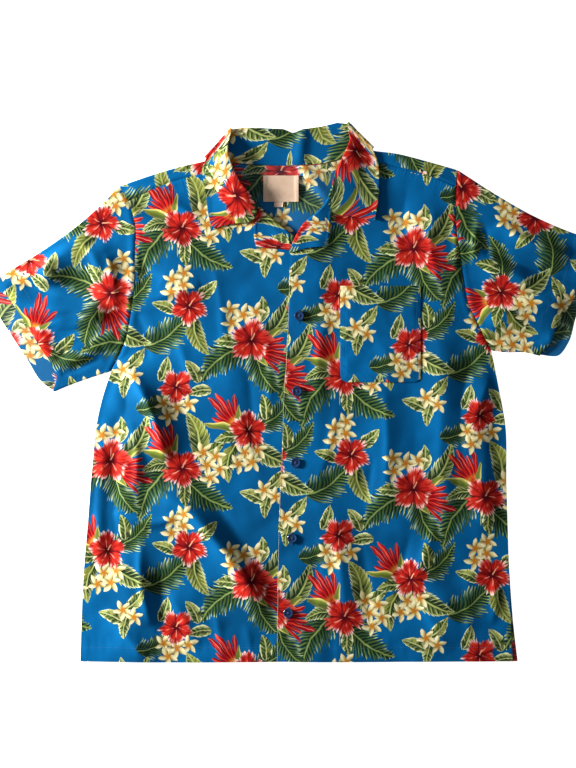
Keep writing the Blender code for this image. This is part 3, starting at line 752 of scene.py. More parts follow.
def hibiscus(tree, u, v, seed):
    """Five broad petals with a torn pale fringe, a dark throat and a stamen."""
    u, v, mottle = shaken(tree, u, v, seed, 2.2, 0.16)
    r = far_from(u, v)
    turn = v.op("ARCTAN2", u)
    place, middle, which = five_petals(turn + r * 0.25, seed)
    uneven = chance(which, seed)
    ray = noise(tree, vector(u / r * 9.5, v / r * 9.5, r * 1.6 + seed * 40), 1.0, 2.0)
    rim = middle ** 0.6 * 0.30 + uneven * 0.10 + ray * 0.66 + 0.27
    mask = step(r, rim, rim - 0.05)
    depth = r / rim
    red = mix(step(r, 0.03, 0.46), (0.07, 0.001, 0.003), (0.26, 0.007, 0.004))
    red = mix(step(ray + mottle * 0.5, 0.56, 0.92) * step(r, 0.12, 0.45), red, (0.53, 0.032, 0.014))
    red = mix(step(place, 0.26, 0.02) * step(r, 0.06, 0.3) * 0.9, red, (0.10, 0.001, 0.003))
    vein = stripe(place, 0.5, 0.10, 0.02) * step(r, 0.10, 0.18) * step(r, 0.62, 0.40)
    red = mix(vein * step(mottle, 0.42, 0.56), red, (0.74, 0.26, 0.19))
    lit = step(chance(which, seed, 3.0), 0.25, 0.75)
    streak = step(ray, 0.47, 0.60) * step(depth, 0.60, 0.95)
    red = mix(streak * (lit * 0.6 + 0.35), red, (0.70, 0.17, 0.13))
    edge = step(ray, 0.46, 0.58) * step(depth, 0.70, 0.92) * step(mottle + lit * 0.22, 0.42, 0.60)
    red = mix(edge * 0.9, red, (0.86, 0.66, 0.60))
    side, rise = math.cos(1.1), math.sin(1.1)
    along, beside = u * side + v * rise, abs(v * side - u * rise)
    stamen = step(beside, 0.045, 0.02) * step(along, 0.0, 0.05) * step(along, 0.38, 0.30)
    red = mix(stamen * step(ray, 0.3, 0.5) * 0.8, red, (0.86, 0.42, 0.24))
    return red, mask


def plumeria(tree, u, v, seed):
    """Five pointed cream petals, each a little over the next, with a warm throat."""
    u, v, mottle = shaken(tree, u, v, seed, 2.5, 0.14)
    r = far_from(u, v)
    place, middle, which = five_petals(v.op("ARCTAN2", u) + r * 0.25, seed)
    rim = middle * 0.70 + 0.36 + chance(which, seed) * 0.14
    mask = step(r, rim, rim - 0.06)
    petal = mix(step(place, 0.04, 0.62), (0.22, 0.15, 0.04), (0.62, 0.52, 0.23))
    petal = mix(step(r, 0.30, 0.80) * step(place + mottle * 0.5, 0.40, 0.85), petal, (0.76, 0.70, 0.45))
    petal = mix(step(r, 0.42, 0.12), petal, (0.50, 0.20, 0.02))
    petal = mix(step(place, 0.13, 0.02) * step(r, 0.85, 0.30), petal, (0.13, 0.045, 0.012))
    petal = mix(stripe(place, 0.5, 0.10, 0.02) * step(r, 0.45, 0.25) * 0.8, petal, (0.25, 0.08, 0.01))
    petal = mix(step(rim - r, 0.12, 0.02) * 0.7, petal, (0.22, 0.20, 0.06))
    return petal, mask


def lens(u, w, turn, length, width):
    """How deep a place is in a pointed leaf that starts at (0, 0): 0 at its edge and 1 on its midrib."""
    along = (u * math.sin(turn) + w * math.cos(turn)) / length
    across = u * math.cos(turn) - w * math.sin(turn)
    half = wave(inner(along) ** 0.8 * math.pi) * width + 0.0001
    return ended(1.0 - abs(across) / half, along), across


def spray(tree, u, v, seed):
    """A flame of long red petals out of a gold throat, between two green sheaths."""
    u, v, mottle = shaken(tree, u, v, seed, 1.6, 0.22)
    w = v + 0.92
    r = far_from(u, w)
    turn = u.op("ARCTAN2", w)
    spike = turn * 4.6 + seed * 5.0
    cell = abs(part_of(spike) - 0.5) * 2.0
    uneven = chance(spike.op("FLOOR"), seed)
    reach = uneven * 0.62 + 1.36 - abs(turn - 0.10) * 1.0
    share = r / reach
    room = 1.18 - share ** 6.0
    mask = step(cell, room, room - 0.18) * step(abs(turn), 0.66, 0.60)
    red = mix(step(cell, 0.95, 0.25), (0.15, 0.002, 0.005), (0.44, 0.012, 0.008))
    red = mix(stripe(part_of(spike), 0.36, 0.13, 0.03) * step(r, 0.35, 0.7), red, (0.68, 0.055, 0.03))
    strand = noise(tree, vector(turn * 9.0, r * 1.1, seed * 40.0), 1.0, 2.0)
    red = mix(step(strand, 0.52, 0.40) * step(r, 0.3, 0.8) * 0.75, red, (0.22, 0.003, 0.006))
    pale = stripe(part_of(spike * 2.0 + mottle), 0.5, 0.12, 0.04) * step(r, 0.7, 1.1) * 0.7
    red = mix(pale, red, (0.78, 0.30, 0.24))
    colour = mix(step(r, 0.62, 0.22) * step(mottle, 0.35, 0.6), red, (0.66, 0.36, 0.05))
    for lean, length, width in ((-0.78, 1.5, 0.19), (0.72, 1.0, 0.13)):
        depth, across = lens(u, w, lean, length, width)
        sheath = mix(step(depth, 0.15, 0.8), (0.62, 0.56, 0.18), (0.16, 0.20, 0.03))
        sheath = mix(step(across, 0.02, -0.10) * 0.8, sheath, (0.03, 0.07, 0.015))
        inside = step(depth, 0.0, 0.12)
        colour = mix(inside, colour, sheath)
        mask = mask.op("MAXIMUM", inside)
    return colour, mask


def leaf_shape(u, v, width, bend, point):
    """A place's share of the way along a leaf, its distance from the midrib, and the half width there."""
    along = (v + 1.0) * 0.5
    across = u - (1.0 - v * v) * bend
    half = wave(inner(along) ** point * math.pi) ** 0.8 * width
    return along, across, half


def frond(tree, u, v, seed):
    """A palm leaf: uneven fingers off a bent midrib, dark with a lit edge on each."""
    u, v, mottle = shaken(tree, u, v, seed, 2.0, 0.20)
    along, across, half = leaf_shape(u, v, 0.58, 0.22, 0.66)
    side = abs(across)
    count = (v - side * 0.95) * 7.6 + seed * 3.0 + across.op("SIGN") * 0.21
    finger = part_of(count)
    uneven = chance(count.op("FLOOR"), seed)
    share = side / (half * (uneven * 0.34 + 0.80) + 0.001)
    room = 1.10 - share ** 4.0
    inside = step(abs(finger - 0.5) * 2.0, room, room - 0.18) * step(share, 1.0, 0.94)
    ends = step(along, 0.0, 0.02) * step(along, 1.0, 0.98)
    green = mix(step(finger, 0.15, 0.6), (0.004, 0.014, 0.006), (0.042, 0.085, 0.018))
    light_side = step(across, -0.08, 0.10) * 0.6 + 0.4
    lit = stripe(finger, 0.66, 0.20, 0.05) * step(share, 0.02, 0.45)
    green = mix(lit * light_side, green, (0.19, 0.27, 0.075))
    green = mix(lit * step(share, 0.45, 0.95) * step(mottle, 0.40, 0.55), green, (0.56, 0.68, 0.40))
    green = mix(step(mottle, 0.56, 0.40) * step(share, 0.0, 0.6) * 0.5, green, (0.010, 0.075, 0.055))
    stroke = noise(tree, vector(count * 2.2, side * 2.5, seed * 30.0), 1.0, 1.0)
    green = mix(step(stroke, 0.55, 0.66) * step(share, 0.30, 0.8) * 0.7, green, (0.58, 0.70, 0.44))
    foot = step(along + mottle * 0.4, 0.75, 0.30) * step(share, 0.9, 0.4) * 0.6
    green = mix(foot, green, (0.006, 0.020, 0.008))
    green = mix(step(side, 0.035, 0.010), green, (0.22, 0.28, 0.09))
    return green, inside * ends


def blade(tree, u, v, seed):
    """A broad leaf with pale slanting veins and a lit edge."""
    u, v, mottle = shaken(tree, u, v, seed, 1.8, 0.18)
    along, across, half = leaf_shape(u, v, 0.42, 0.26, 0.82)
    side = abs(across)
    count = (v - side * 1.1) * 4.6 + seed
    tooth = part_of(count)
    share = side / (half * (tooth * 0.22 + 0.82) + 0.001)
    mask = ended(step(share, 1.0, 0.92), along)
    lit = step(across, -0.08, 0.10)
    green = mix(lit, (0.024, 0.048, 0.014), (0.13, 0.17, 0.045))
    green = mix(step(tooth, 0.55, 0.10) * step(share, 0.96, 0.5) * 0.92, green, (0.010, 0.030, 0.010))
    green = mix(stripe(tooth, 0.80, 0.16, 0.04) * step(share, 0.1, 0.5) * 0.8, green, (0.52, 0.56, 0.24))
    stroke = noise(tree, vector((v - side * 1.1) * 15.0, side * 2.0, seed * 30.0), 1.0, 1.0)
    rim = step(share, 0.74, 0.96) * step(mottle + stroke * 0.5, 0.60, 0.78)
    green = mix(rim, green, (0.76, 0.80, 0.44))
    green = mix(step(stroke, 0.52, 0.66) * step(share, 0.25, 0.7) * 0.6, green, (0.60, 0.66, 0.34))
    green = mix(step(along + mottle * 0.4, 0.80, 0.30) * 0.75, green, (0.010, 0.026, 0.008))
    yellow = step(part_of(seed * 3.0), 0.45, 0.55) * step(mottle + across * 0.4, 0.38, 0.60) * 0.4
    green = mix(yellow, green, (0.36, 0.36, 0.05))
    green = mix(step(side, 0.05, 0.015), green, (0.36, 0.40, 0.14))
    return green, mask


def leaf(tree, u, v, seed):
    """A short pointed leaf with a dark mottled middle and a cream edge."""
    u, v, mottle = shaken(tree, u, v, seed, 2.2, 0.20)
    along, across, half = leaf_shape(u, v, 0.50, 0.14, 0.72)
    side = abs(across)
    share = side / (half + 0.001)
    mask = ended(step(share, 1.0, 0.92), along)
    vein = part_of((v - side) * 3.2 + seed)
    green = mix(step(vein + mottle * 0.5, 0.3, 1.0), (0.014, 0.034, 0.010), (0.12, 0.17, 0.04))
    green = mix(step(across, -0.05, 0.10) * step(mottle, 0.40, 0.60) * 0.8, green, (0.34, 0.36, 0.10))
    green = mix(step(along + mottle * 0.4, 0.75, 0.35) * 0.6, green, (0.012, 0.026, 0.008))
    stroke = noise(tree, vector((v - side) * 9.0, side * 2.0, seed * 30.0), 1.0, 1.0)
    green = mix(step(stroke, 0.54, 0.68) * step(share, 0.20, 0.6) * 0.7, green, (0.58, 0.62, 0.30))
    rim = step(share, 0.60, 0.92) * step(mottle + stroke * 0.5, 0.62, 0.80)
    green = mix(rim, green, (0.74, 0.76, 0.42))
    green = mix(step(side, 0.07, 0.02) * 0.8, green, (0.50, 0.52, 0.24))
    return green, mask


def motif_group(draw):
    """A motif as a node group: from its own coordinates and seed to its colour and mask."""
    tree = bpy.data.node_groups.new(draw.__name__, "ShaderNodeTree")
    tree.interface.new_socket("Place", in_out="INPUT", socket_type="NodeSocketVector")
    tree.interface.new_socket("Colour", in_out="OUTPUT", socket_type="NodeSocketColor")
    tree.interface.new_socket("Mask", in_out="OUTPUT", socket_type="NodeSocketFloat")
    given, made = tree.nodes.new("NodeGroupInput"), tree.nodes.new("NodeGroupOutput")
    colour, mask = draw(tree, *parts_of(tree, given.outputs[0]))
    plug(tree, made.inputs[0], colour)
    plug(tree, made.inputs[1], mask)
    return tree


# ---- the print's repeat ----
REPEAT = (200.0, 341.0)
# Columns: slot, x, y, turn in degrees, reach. A row's number also sets its seed, so their order counts.
PRINT = [
    # A big bloom over two fronds, a flame above it and cream flowers beside it
    ("frond_1", 16, 28, 148, 48),
    ("frond_2", 86, 34, -126, 48),
    ("blade_1", 66, 108, 14, 37),
    ("blade_2", 20, 62, 100, 26),
    ("leaf_1", 96, 92, -62, 19),
    ("leaf_2", 58, 24, 182, 18),
    ("spray", 22, 104, 34, 35),
    ("plumeria_1", 82, 85, 0, 15),
    ("plumeria_2", 100, 79, 40, 14),
    ("plumeria_3", 87, 67, 15, 15),
    ("plumeria_1", 105, 61, 30, 14),
    ("plumeria_2", 91, 49, 62, 14),
    ("hibiscus", 52, 62, 0, 31),
    # A bloom with a flame and two broad leaves
    ("blade_2", 178, 88, -122, 37),
    ("blade_1", 124, 70, 168, 30),
    ("frond_2", 182, 144, -48, 36),
    ("spray", 112, 144, 40, 34),
    ("leaf_1", 168, 150, 10, 19),
    ("leaf_2", 116, 104, 100, 19),
    ("plumeria_1", 159, 88, 15, 14),
    ("plumeria_2", 141, 85, 60, 15),
    ("plumeria_3", 151, 71, 5, 15),
    ("plumeria_1", 132, 69, 40, 14),
    ("hibiscus", 146, 116, 0, 29),
    # A bloom with three leaves and two cream flowers
    ("leaf_1", 66, 200, 32, 19),
    ("leaf_2", 26, 204, -18, 19),
    ("leaf_3", 76, 170, 100, 18),
    ("frond_1", 14, 158, -62, 30),
    ("plumeria_1", 26, 155, 30, 14),
    ("plumeria_2", 44, 148, 80, 15),
    ("plumeria_3", 32, 137, 10, 14),
    ("plumeria_1", 61, 153, 55, 14),
    ("hibiscus", 44, 178, 0, 27),
    # A big bloom over one long frond, a broad leaf above it and a flame beside it
    ("frond_1", 116, 212, 124, 48),
    ("frond_2", 176, 196, -150, 40),
    ("blade_1", 184, 278, -34, 36),
    ("spray", 184, 228, -98, 36),
    ("leaf_1", 116, 240, 84, 19),
    ("leaf_3", 164, 288, -4, 19),
    ("plumeria_1", 122, 269, 50, 15),
    ("plumeria_2", 139, 280, 10, 15),
    ("plumeria_3", 121, 287, 33, 14),
    ("plumeria_1", 157, 284, 70, 14),
    ("hibiscus", 150, 244, 0, 33),
    # Two cream flowers with three leaves
    ("leaf_2", 150, 22, 68, 19),
    ("leaf_3", 186, 48, -40, 19),
    ("leaf_1", 172, 8, 170, 17),
    ("plumeria_1", 168, 32, 30, 14),
    ("plumeria_2", 184, 22, 0, 13),
    # A bloom over a long frond, with a bunch of cream flowers
    ("frond_2", 30, 262, -52, 44),
    ("blade_2", 80, 252, -160, 32),
    ("leaf_2", 86, 316, -52, 20),
    ("leaf_1", 48, 326, 8, 19),
    ("leaf_3", 26, 290, 70, 18),
    ("plumeria_1", 37, 312, 70, 15),
    ("plumeria_2", 54, 322, 20, 15),
    ("plumeria_3", 38, 330, 45, 14),
    ("plumeria_1", 55, 339, 5, 14),
    ("hibiscus", 62, 292, 0, 29),
]
# From the lowest to the topmost
SLOTS = [
    ("frond_1", frond), ("frond_2", frond), ("blade_1", blade), ("blade_2", blade),
    ("leaf_1", leaf), ("leaf_2", leaf), ("leaf_3", leaf), ("spray", spray),
    ("plumeria_1", plumeria), ("plumeria_2", plumeria), ("plumeria_3", plumeria),
    ("hibiscus", hibiscus),
]
# Coordinates where no motif has anything, and how far from its middle one is still looked for
FAR_OFF = 9.0
MOTIF_REACH = 1.4
SEED_STEP = 0.137


def lay_print(mesh, cut):
    """Gives each face the coordinates of the nearest motif of every slot.

    cut is the place of each face corner on the flat cloth, in metres.
    """
    place = cut / MM
    centre = place.mean(axis=1)
    low, high = centre.min(axis=0) - 60, centre.max(axis=0) + 60
    first = [math.floor(low[k] / REPEAT[k]) - 1 for k in (0, 1)]
    end = [math.ceil(high[k] / REPEAT[k]) + 1 for k in (0, 1)]
    for slot, _ in SLOTS:
        local = np.full(place.shape[:2] + (3,), FAR_OFF)
        closest = np.full(len(place), MOTIF_REACH)
        for number, (its_slot, x, y, turn, reach) in enumerate(PRINT):
            if its_slot != slot:
                continue
            c, s = math.cos(math.radians(turn)), math.sin(math.radians(turn))
            for i in range(first[0], end[0]):
                for j in range(first[1], end[1]):
                    middle = (x + i * REPEAT[0], y + (j + 0.5 * (i % 2)) * REPEAT[1])
                    away = np.hypot(*(centre - middle).T) / reach
                    here = away < closest
                    if not here.any():
                        continue
                    closest[here] = away[here]
                    u, v = np.moveaxis((place[here] - middle) / reach, -1, 0)
                    seed = np.full(u.shape, number * SEED_STEP % 1.0)
                    local[here] = np.stack([u * c + v * s, v * c - u * s, seed], axis=-1)
        store(mesh, slot, local)


# ---- materials ----
def attribute(tree, name):
    node = tree.nodes.new("ShaderNodeAttribute")
    node.attribute_name = name
    return node.outputs["Vector"]


def new_material(name, roughness, **inputs):
    made = bpy.data.materials.new(name)
    made.use_nodes = True
    shader = made.node_tree.nodes["Principled BSDF"]
    shader.inputs["Roughness"].default_value = roughness
    for key, value in inputs.items():
        shader.inputs[key.replace("_", " ")].default_value = value
    return made, made.node_tree, shader


def object_place(tree):
    return tree.nodes.new("ShaderNodeTexCoord").outputs["Object"]


def surface(tree, shader, colour, height, distance, strength):
    """A shader's colour and its fine relief. The distance is in metres."""
    tree.links.new(colour, shader.inputs["Base Color"])
    node = tree.nodes.new("ShaderNodeBump")
    node.inputs["Strength"].default_value = strength
    node.inputs["Distance"].default_value = distance
    plug(tree, node.inputs["Height"], height)
    tree.links.new(node.outputs[0], shader.inputs["Normal"])


def weave(x, y, pitch):
    """The height of a plain weave with a pitch in metres."""
    warp = wave(x * (2 * math.pi / pitch))
    weft = wave(y * (2 * math.pi / pitch))
    return abs(warp) * 0.5 + abs(weft) * 0.5


def printed_cloth():
    """Smooth light cloth: the print over blue, a fine weave, and a paler inner side."""
    made, tree, shader = new_material("printed_cloth", 0.72, Sheen_Weight=0.02, Specular_IOR_Level=0.07)
    cut = attribute(tree, "cut")
    x, y, inside = parts_of(tree, cut)
    cloudy = noise(tree, cut, 9.0, 2.0)
    colour = mix(step(cloudy, 0.35, 0.65), GROUND_DEEP, GROUND_LIT)
    for slot, draw in SLOTS:
        node = tree.nodes.new("ShaderNodeGroup")
        node.node_tree = MOTIFS[draw.__name__]
        tree.links.new(attribute(tree, slot), node.inputs[0])
        colour = mix(Signal(tree, node.outputs[1]), colour, node.outputs[0])
    threads = weave(x, y, WEAVE_PITCH)
    slub = noise(tree, vector(x * 900.0, y * 90.0), 1.0, 1.0)
    colour = mix(step(slub, 0.3, 0.8) * 0.10, colour, (0.0, 0.02, 0.10))
    colour = mix(inside * 0.06, colour, INNER_SIDE)
    surface(tree, shader, colour, threads + slub * 0.6, 0.00006, 0.5)
    return made


def woven_tape():
    """A plain ribbed tape in two close shades: painted shade between its threads and lighter crowns, over
    a random unevenness of the yarn.
    """
    made, tree, shader = new_material("woven_tape", 0.75, Sheen_Weight=0.2)
    cut = attribute(tree, "cut")
    x, y, _ = parts_of(tree, cut)
    threads = weave(x, y, TAPE_PITCH)
    uneven = noise(tree, cut, 120.0, 2.0)
    # Painted shade and highlight: darker where the weave dips between threads and lighter on their
    # crowns, mixed with random unevenness of the yarn
    colour = mix(threads * 0.5 + uneven * 0.5, (0.46, 0.30, 0.20), (0.72, 0.55, 0.42))
    surface(tree, shader, colour, threads, 0.00015, 0.6)
    return made


def thread(name, deep, lit):
    """Twisted sewing thread."""
    made, tree, shader = new_material(name, 0.55, Sheen_Weight=0.3)
    fine = noise(tree, object_place(tree), 2500.0, 1.0)
    surface(tree, shader, mix(step(fine, 0.3, 0.7), deep, lit), fine, 0.00008, 0.6)
    return made


def button_gloss():
    """Polished navy plastic with a faint pearly cloud."""
    made, tree, shader = new_material("button_gloss", 0.16, Coat_Weight=0.4, Coat_Roughness=0.08)
    place = object_place(tree)
    cloudy = noise(tree, place, 260.0, 3.0)
    colour = mix(step(cloudy, 0.35, 0.7), (0.005, 0.024, 0.080), (0.012, 0.055, 0.150))
    surface(tree, shader, colour, noise(tree, place, 900.0, 2.0), 0.00003, 0.25)
    return made


def floor_material():
    """A pale floor that glows enough to hide the garment's shadow, as on a cut-out photo."""
    made, tree, shader = new_material("pale_floor", 0.9)
    cloudy = noise(tree, object_place(tree), 3.0, 2.0)
    tree.links.new(mix(cloudy, (0.88, 0.88, 0.88), (0.92, 0.92, 0.92)), shader.inputs["Base Color"])
    shader.inputs["Emission Color"].default_value = (1.0, 1.0, 1.0, 1.0)
    shader.inputs["Emission Strength"].default_value = FLOOR_GLOW
    return made


# ---- from grids to shells ----
def grid_faces(rows, columns, closed=False):
    """The faces of a grid whose points are numbered row by row, seen from its front."""
    i, j = np.meshgrid(np.arange(rows - 1), np.arange(columns if closed else columns - 1), indexing="ij")
    k = (j + 1) % columns
    low, high = i * columns, (i + 1) * columns
    return np.stack([low + j, low + k, high + k, high + j], axis=-1).reshape(-1, 4)


def grid_corners(values):
    """A grid's values at the four corners of each face, in the order of grid_faces."""
    return np.stack([values[:-1, :-1], values[:-1, 1:], values[1:, 1:], values[1:, :-1]], axis=2)


def grid_parts(grid, cut):
    """A grid's points, its faces, and each face corner's place on the flat cloth."""
    return grid.reshape(-1, 3), grid_faces(*grid.shape[:2]), grid_corners(cut).reshape(-1, 4, 2)


def placed(name, data):
    """A new object in the scene."""
    made = bpy.data.objects.new(name, data)
    bpy.context.scene.collection.objects.link(made)
    return made


def soften(mesh, sharp):
    """Smooth shading, except where faces meet at more than an angle in degrees."""
    mesh.shade_smooth()
    mesh.set_sharp_from_angle(angle=math.radians(sharp))


def mesh_piece(name, points, faces, place=(0.0, 0.0, 0.0), sharp=40):
    """A piece from points in millimetres about a place."""
    mesh = bpy.data.meshes.new(name)
    moved = (np.array(points, float) + place) * MM
    mesh.from_pydata(moved.tolist(), [], [tuple(map(int, face)) for face in faces])
    mesh.update()
    soften(mesh, sharp)
    return placed(name, mesh)


def shell(name, points, faces, cut, thickness=SHELL, inside_up=False):
    """A thin closed shell about faces on the middle of the cloth.

    cut is the place of each corner of each face on the flat cloth.
    """
    points[:, 2] = np.maximum(points[:, 2], thickness / 2 + FLOOR_GAP)
    corner = points[faces]
    normal = np.cross(corner[:, 2] - corner[:, 0], corner[:, 3] - corner[:, 1])
    shared = np.zeros_like(points)
    for column in range(4):
        np.add.at(shared, faces[:, column], normal)
    shared /= np.maximum(np.linalg.norm(shared, axis=1), 1e-9)[:, None]
    count = len(points)
    both = np.concatenate([points + shared * thickness / 2, points - shared * thickness / 2])
    edges = np.concatenate([faces[:, [i, (i + 1) % 4]] for i in range(4)])
    edge_cut = np.concatenate([cut[:, [i, (i + 1) % 4]] for i in range(4)])
    is_open = ~np.isin(edges[:, 0] * count + edges[:, 1], edges[:, 1] * count + edges[:, 0])
    a, b = edges[is_open].T
    rim = np.stack([b, a, a + count, b + count], axis=1)
    rim_cut = edge_cut[is_open][:, [1, 0, 0, 1]]
    every = np.concatenate([faces, faces[:, ::-1] + count, rim])
    every_cut = np.concatenate([cut, cut[:, ::-1], rim_cut]) * MM
    inside = np.zeros(len(every))
    inside[: len(faces)] = float(inside_up)
    inside[len(faces) : 2 * len(faces)] = float(not inside_up)
    piece = mesh_piece(name, both, every, sharp=50)
    store(piece.data, "cut", np.dstack([every_cut, np.repeat(inside[:, None], 4, axis=1)]))
    return piece, every_cut


def store(mesh, name, values):
    """Three numbers for each corner of each face, which the materials read by name."""
    made = mesh.attributes.new(name, "FLOAT_VECTOR", "CORNER")
    made.data.foreach_set("vector", np.array(values, np.float32).ravel())


def dress(piece, node, material):
    """Puts a piece in the place of its solid, with its finish."""
    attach(piece, body)
    if node:
        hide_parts(node)
    piece.data.materials.append(material)
    return piece


def cloth(name, points, faces, cut, shift=(0.0, 0.0), **options):
    """A printed piece that replaces the solid of its name. shift is where on the print it was cut."""
    points, cut = np.array(points, float), np.array(cut, float) + shift
    piece, every_cut = shell(name + "_cloth", points, faces, cut, **options)
    lay_print(piece.data, every_cut)
    return dress(piece, name, PRINTED)


def cloth_grid(name, grid, cut, shift=(0.0, 0.0), **options):
    return cloth(name, *grid_parts(grid, cut), shift, **options)


# ---- the body ----
def back_panel():
    """The back, with its shoulders turned over to the forward seams."""
    shoulder, neck, side = 5 * ACROSS_FINE, 12 * ACROSS_FINE, 11 * ALONG_FINE
    tops = ((SHOULDER_RIGHT, shoulder), (NECK_BACK, neck), (SHOULDER_LEFT, shoulder))
    top = joined(*(spread(line, parts) for line, parts in tops))
    left, right = (
        joined(spread(seam, side), spread(armhole, ARMHOLE_PARTS * ALONG_FINE))
        for seam, armhole in ((SIDE_RIGHT, ARMHOLE_RIGHT), (SIDE_LEFT_BACK, ARMHOLE_LEFT))
    )
    plan = patch(left, right, spread(HEM_BACK, len(top) - 1), top)
    x, y = xy(plan)
    grid = np.dstack([plan, back_level(x, y) + under_hem(HEM_BACK, HEM_DEPTH, x, y)])
    rows, columns = grid.shape[:2]
    points, cuts = [grid.reshape(-1, 3)], [plan.reshape(-1, 2)]
    faces = [grid_faces(rows, columns)]
    last, start = (rows - 1) * columns, rows * columns
    seam_right = [tuple(left[-ALONG_FINE - 1])] + SEAM_RIGHT[1:]
    seam_left = SEAM_LEFT[:-1] + [tuple(right[-ALONG_FINE - 1])]
    for first, seam, upper in ((0, seam_right, right_level), (shoulder + neck, seam_left, left_level)):
        line = last + first + np.arange(shoulder + 1)
        edge = grid[-1, first : first + shoulder + 1]
        run = np.gradient(edge[:, :2], axis=0)
        out = np.stack([-run[:, 1], run[:, 0]], axis=1)
        out /= np.linalg.norm(out, axis=1)[:, None]
        radius = (upper(*xy(edge)) - edge[:, 2]) / 2
        ends = spread(seam, shoulder)
        strips, gone = [], []
        for angle in np.radians(np.arange(15, 166, 15)):
            place = edge[:, :2] + out * (radius * math.sin(angle))[:, None]
            strips.append(np.column_stack([place, edge[:, 2] + radius * (1 - math.cos(angle))]))
            gone.append(radius * angle)
        for part in np.linspace(0.0, 1.0, 2 * ALONG_FINE + 1):
            place = edge[:, :2] * (1 - part) + ends * part
            reach = np.linalg.norm(place - ends, axis=1)
            strips.append(np.column_stack([place, upper(*xy(place)) + seam_relief(reach)]))
            gone.append(radius * math.pi + np.linalg.norm(place - edge[:, :2], axis=1))
        for strip, length in zip(strips, gone):
            new = start + np.arange(shoulder + 1)
            points.append(strip)
            cuts.append(edge[:, :2] + out * length[:, None])
            faces.append(np.stack([line[:-1], line[1:], new[1:], new[:-1]], axis=1))
            line, start = new, start + shoulder + 1
    points, cuts, faces = (np.concatenate(parts) for parts in (points, cuts, faces))
    return cloth("back_panel", points, faces, cuts[faces], BACK_SHIFT, inside_up=True)


def below(curve, gap=SEAM_GAP + 0.1):
    """A seam's line moved down by its gap."""
    return np.array(curve, float) - (0.0, gap)


def outer_edge(side, armhole):
    """A front's outer edge. The turned-over shoulder takes the last step of its armhole."""
    up_armhole = spread(armhole, ARMHOLE_PARTS * ALONG_FINE)[:-ALONG_FINE]
    return joined(spread(side, FRONT_PARTS * ALONG_FINE), up_armhole)


def inner_edge(edge, edge_parts, roll, neck, neck_parts):
    """A front's inner edge: up the placket, along the roll, over to the neck seam and along it."""
    neck = below(neck)
    runs = ((edge, edge_parts), (roll, ROLL_PARTS), ([roll[-1], neck[0]], 1), (neck, neck_parts))
    return joined(*(spread(line, parts * ALONG_FINE) for line, parts in runs))


def front(name, plan, level, lines, edge, shift):
    """A front: its creases, its seams at side, armhole and shoulder, its hem and its turned edge."""
    x, y = xy(plan)
    side, armhole, seam, hem = lines
    z = level(x, y)
    z += ripple(x, y, PANEL_SEED) * smooth(distance_to(side, x, y) / 20)
    for number, line in enumerate((armhole, seam)):
        away, _, along = nearest(spread(line, 12), x, y)
        z += 0.8 * seam_relief(away) + pucker(away, along * SEAM_RUN, seed=11 + number)
    away, _, along = nearest(hem, x, y)
    z += hem_relief(away, HEM_DEPTH) + pucker(away - HEM_DEPTH, along * SEAM_RUN, seed=17)
    away, _, along = nearest(spread(edge, 12), x, y)
    z += PLACKET_EDGE * bell(away, 1.3)
    z += pucker(away - EDGE_STITCH, along * EDGE_RUN, seed=19, reach=5.0)
    return cloth_grid(name, np.dstack([plan, z]), plan, shift)


def front_right():
    """The wearer's right front, the under one."""
    edge = [(x + PLACKET, y) for x, y in FRONT_EDGE_LEFT[:-2]] + [(36, 165)]
    inner = inner_edge(edge + [ROLL_RIGHT[0]], FRONT_PARTS - 2, ROLL_RIGHT, NECK_SEAM_RIGHT, 4)
    outer = outer_edge(SIDE_RIGHT, ARMHOLE_RIGHT)
    top = below(spread([tuple(outer[-1])] + SEAM_RIGHT[1:], FRONT_COLUMNS))
    outer[-1] = top[0]
    plan = patch(outer, inner, spread(HEM_RIGHT, FRONT_COLUMNS), top)
    lines = (SIDE_RIGHT, ARMHOLE_RIGHT, SEAM_RIGHT, HEM_RIGHT)
    return front("front_right", plan, right_level, lines, edge, (0.0, 0.0))


def front_left():
    """The wearer's left front, the upper one."""
    inner = inner_edge(FRONT_EDGE_LEFT, FRONT_PARTS - 1, ROLL_LEFT, NECK_SEAM_LEFT, 3)
    outer = outer_edge(SIDE_LEFT, ARMHOLE_LEFT)
    top = below(spread(SEAM_LEFT[:-1] + [tuple(outer[-1])], FRONT_COLUMNS))
    outer[-1] = top[-1]
    plan = patch(inner, outer, spread(HEM_LEFT, FRONT_COLUMNS), top)
    lines = (SIDE_LEFT, ARMHOLE_LEFT, SEAM_LEFT, HEM_LEFT)
    return front("front_left", plan, left_level, lines, FRONT_EDGE_LEFT, LEFT_SHIFT)


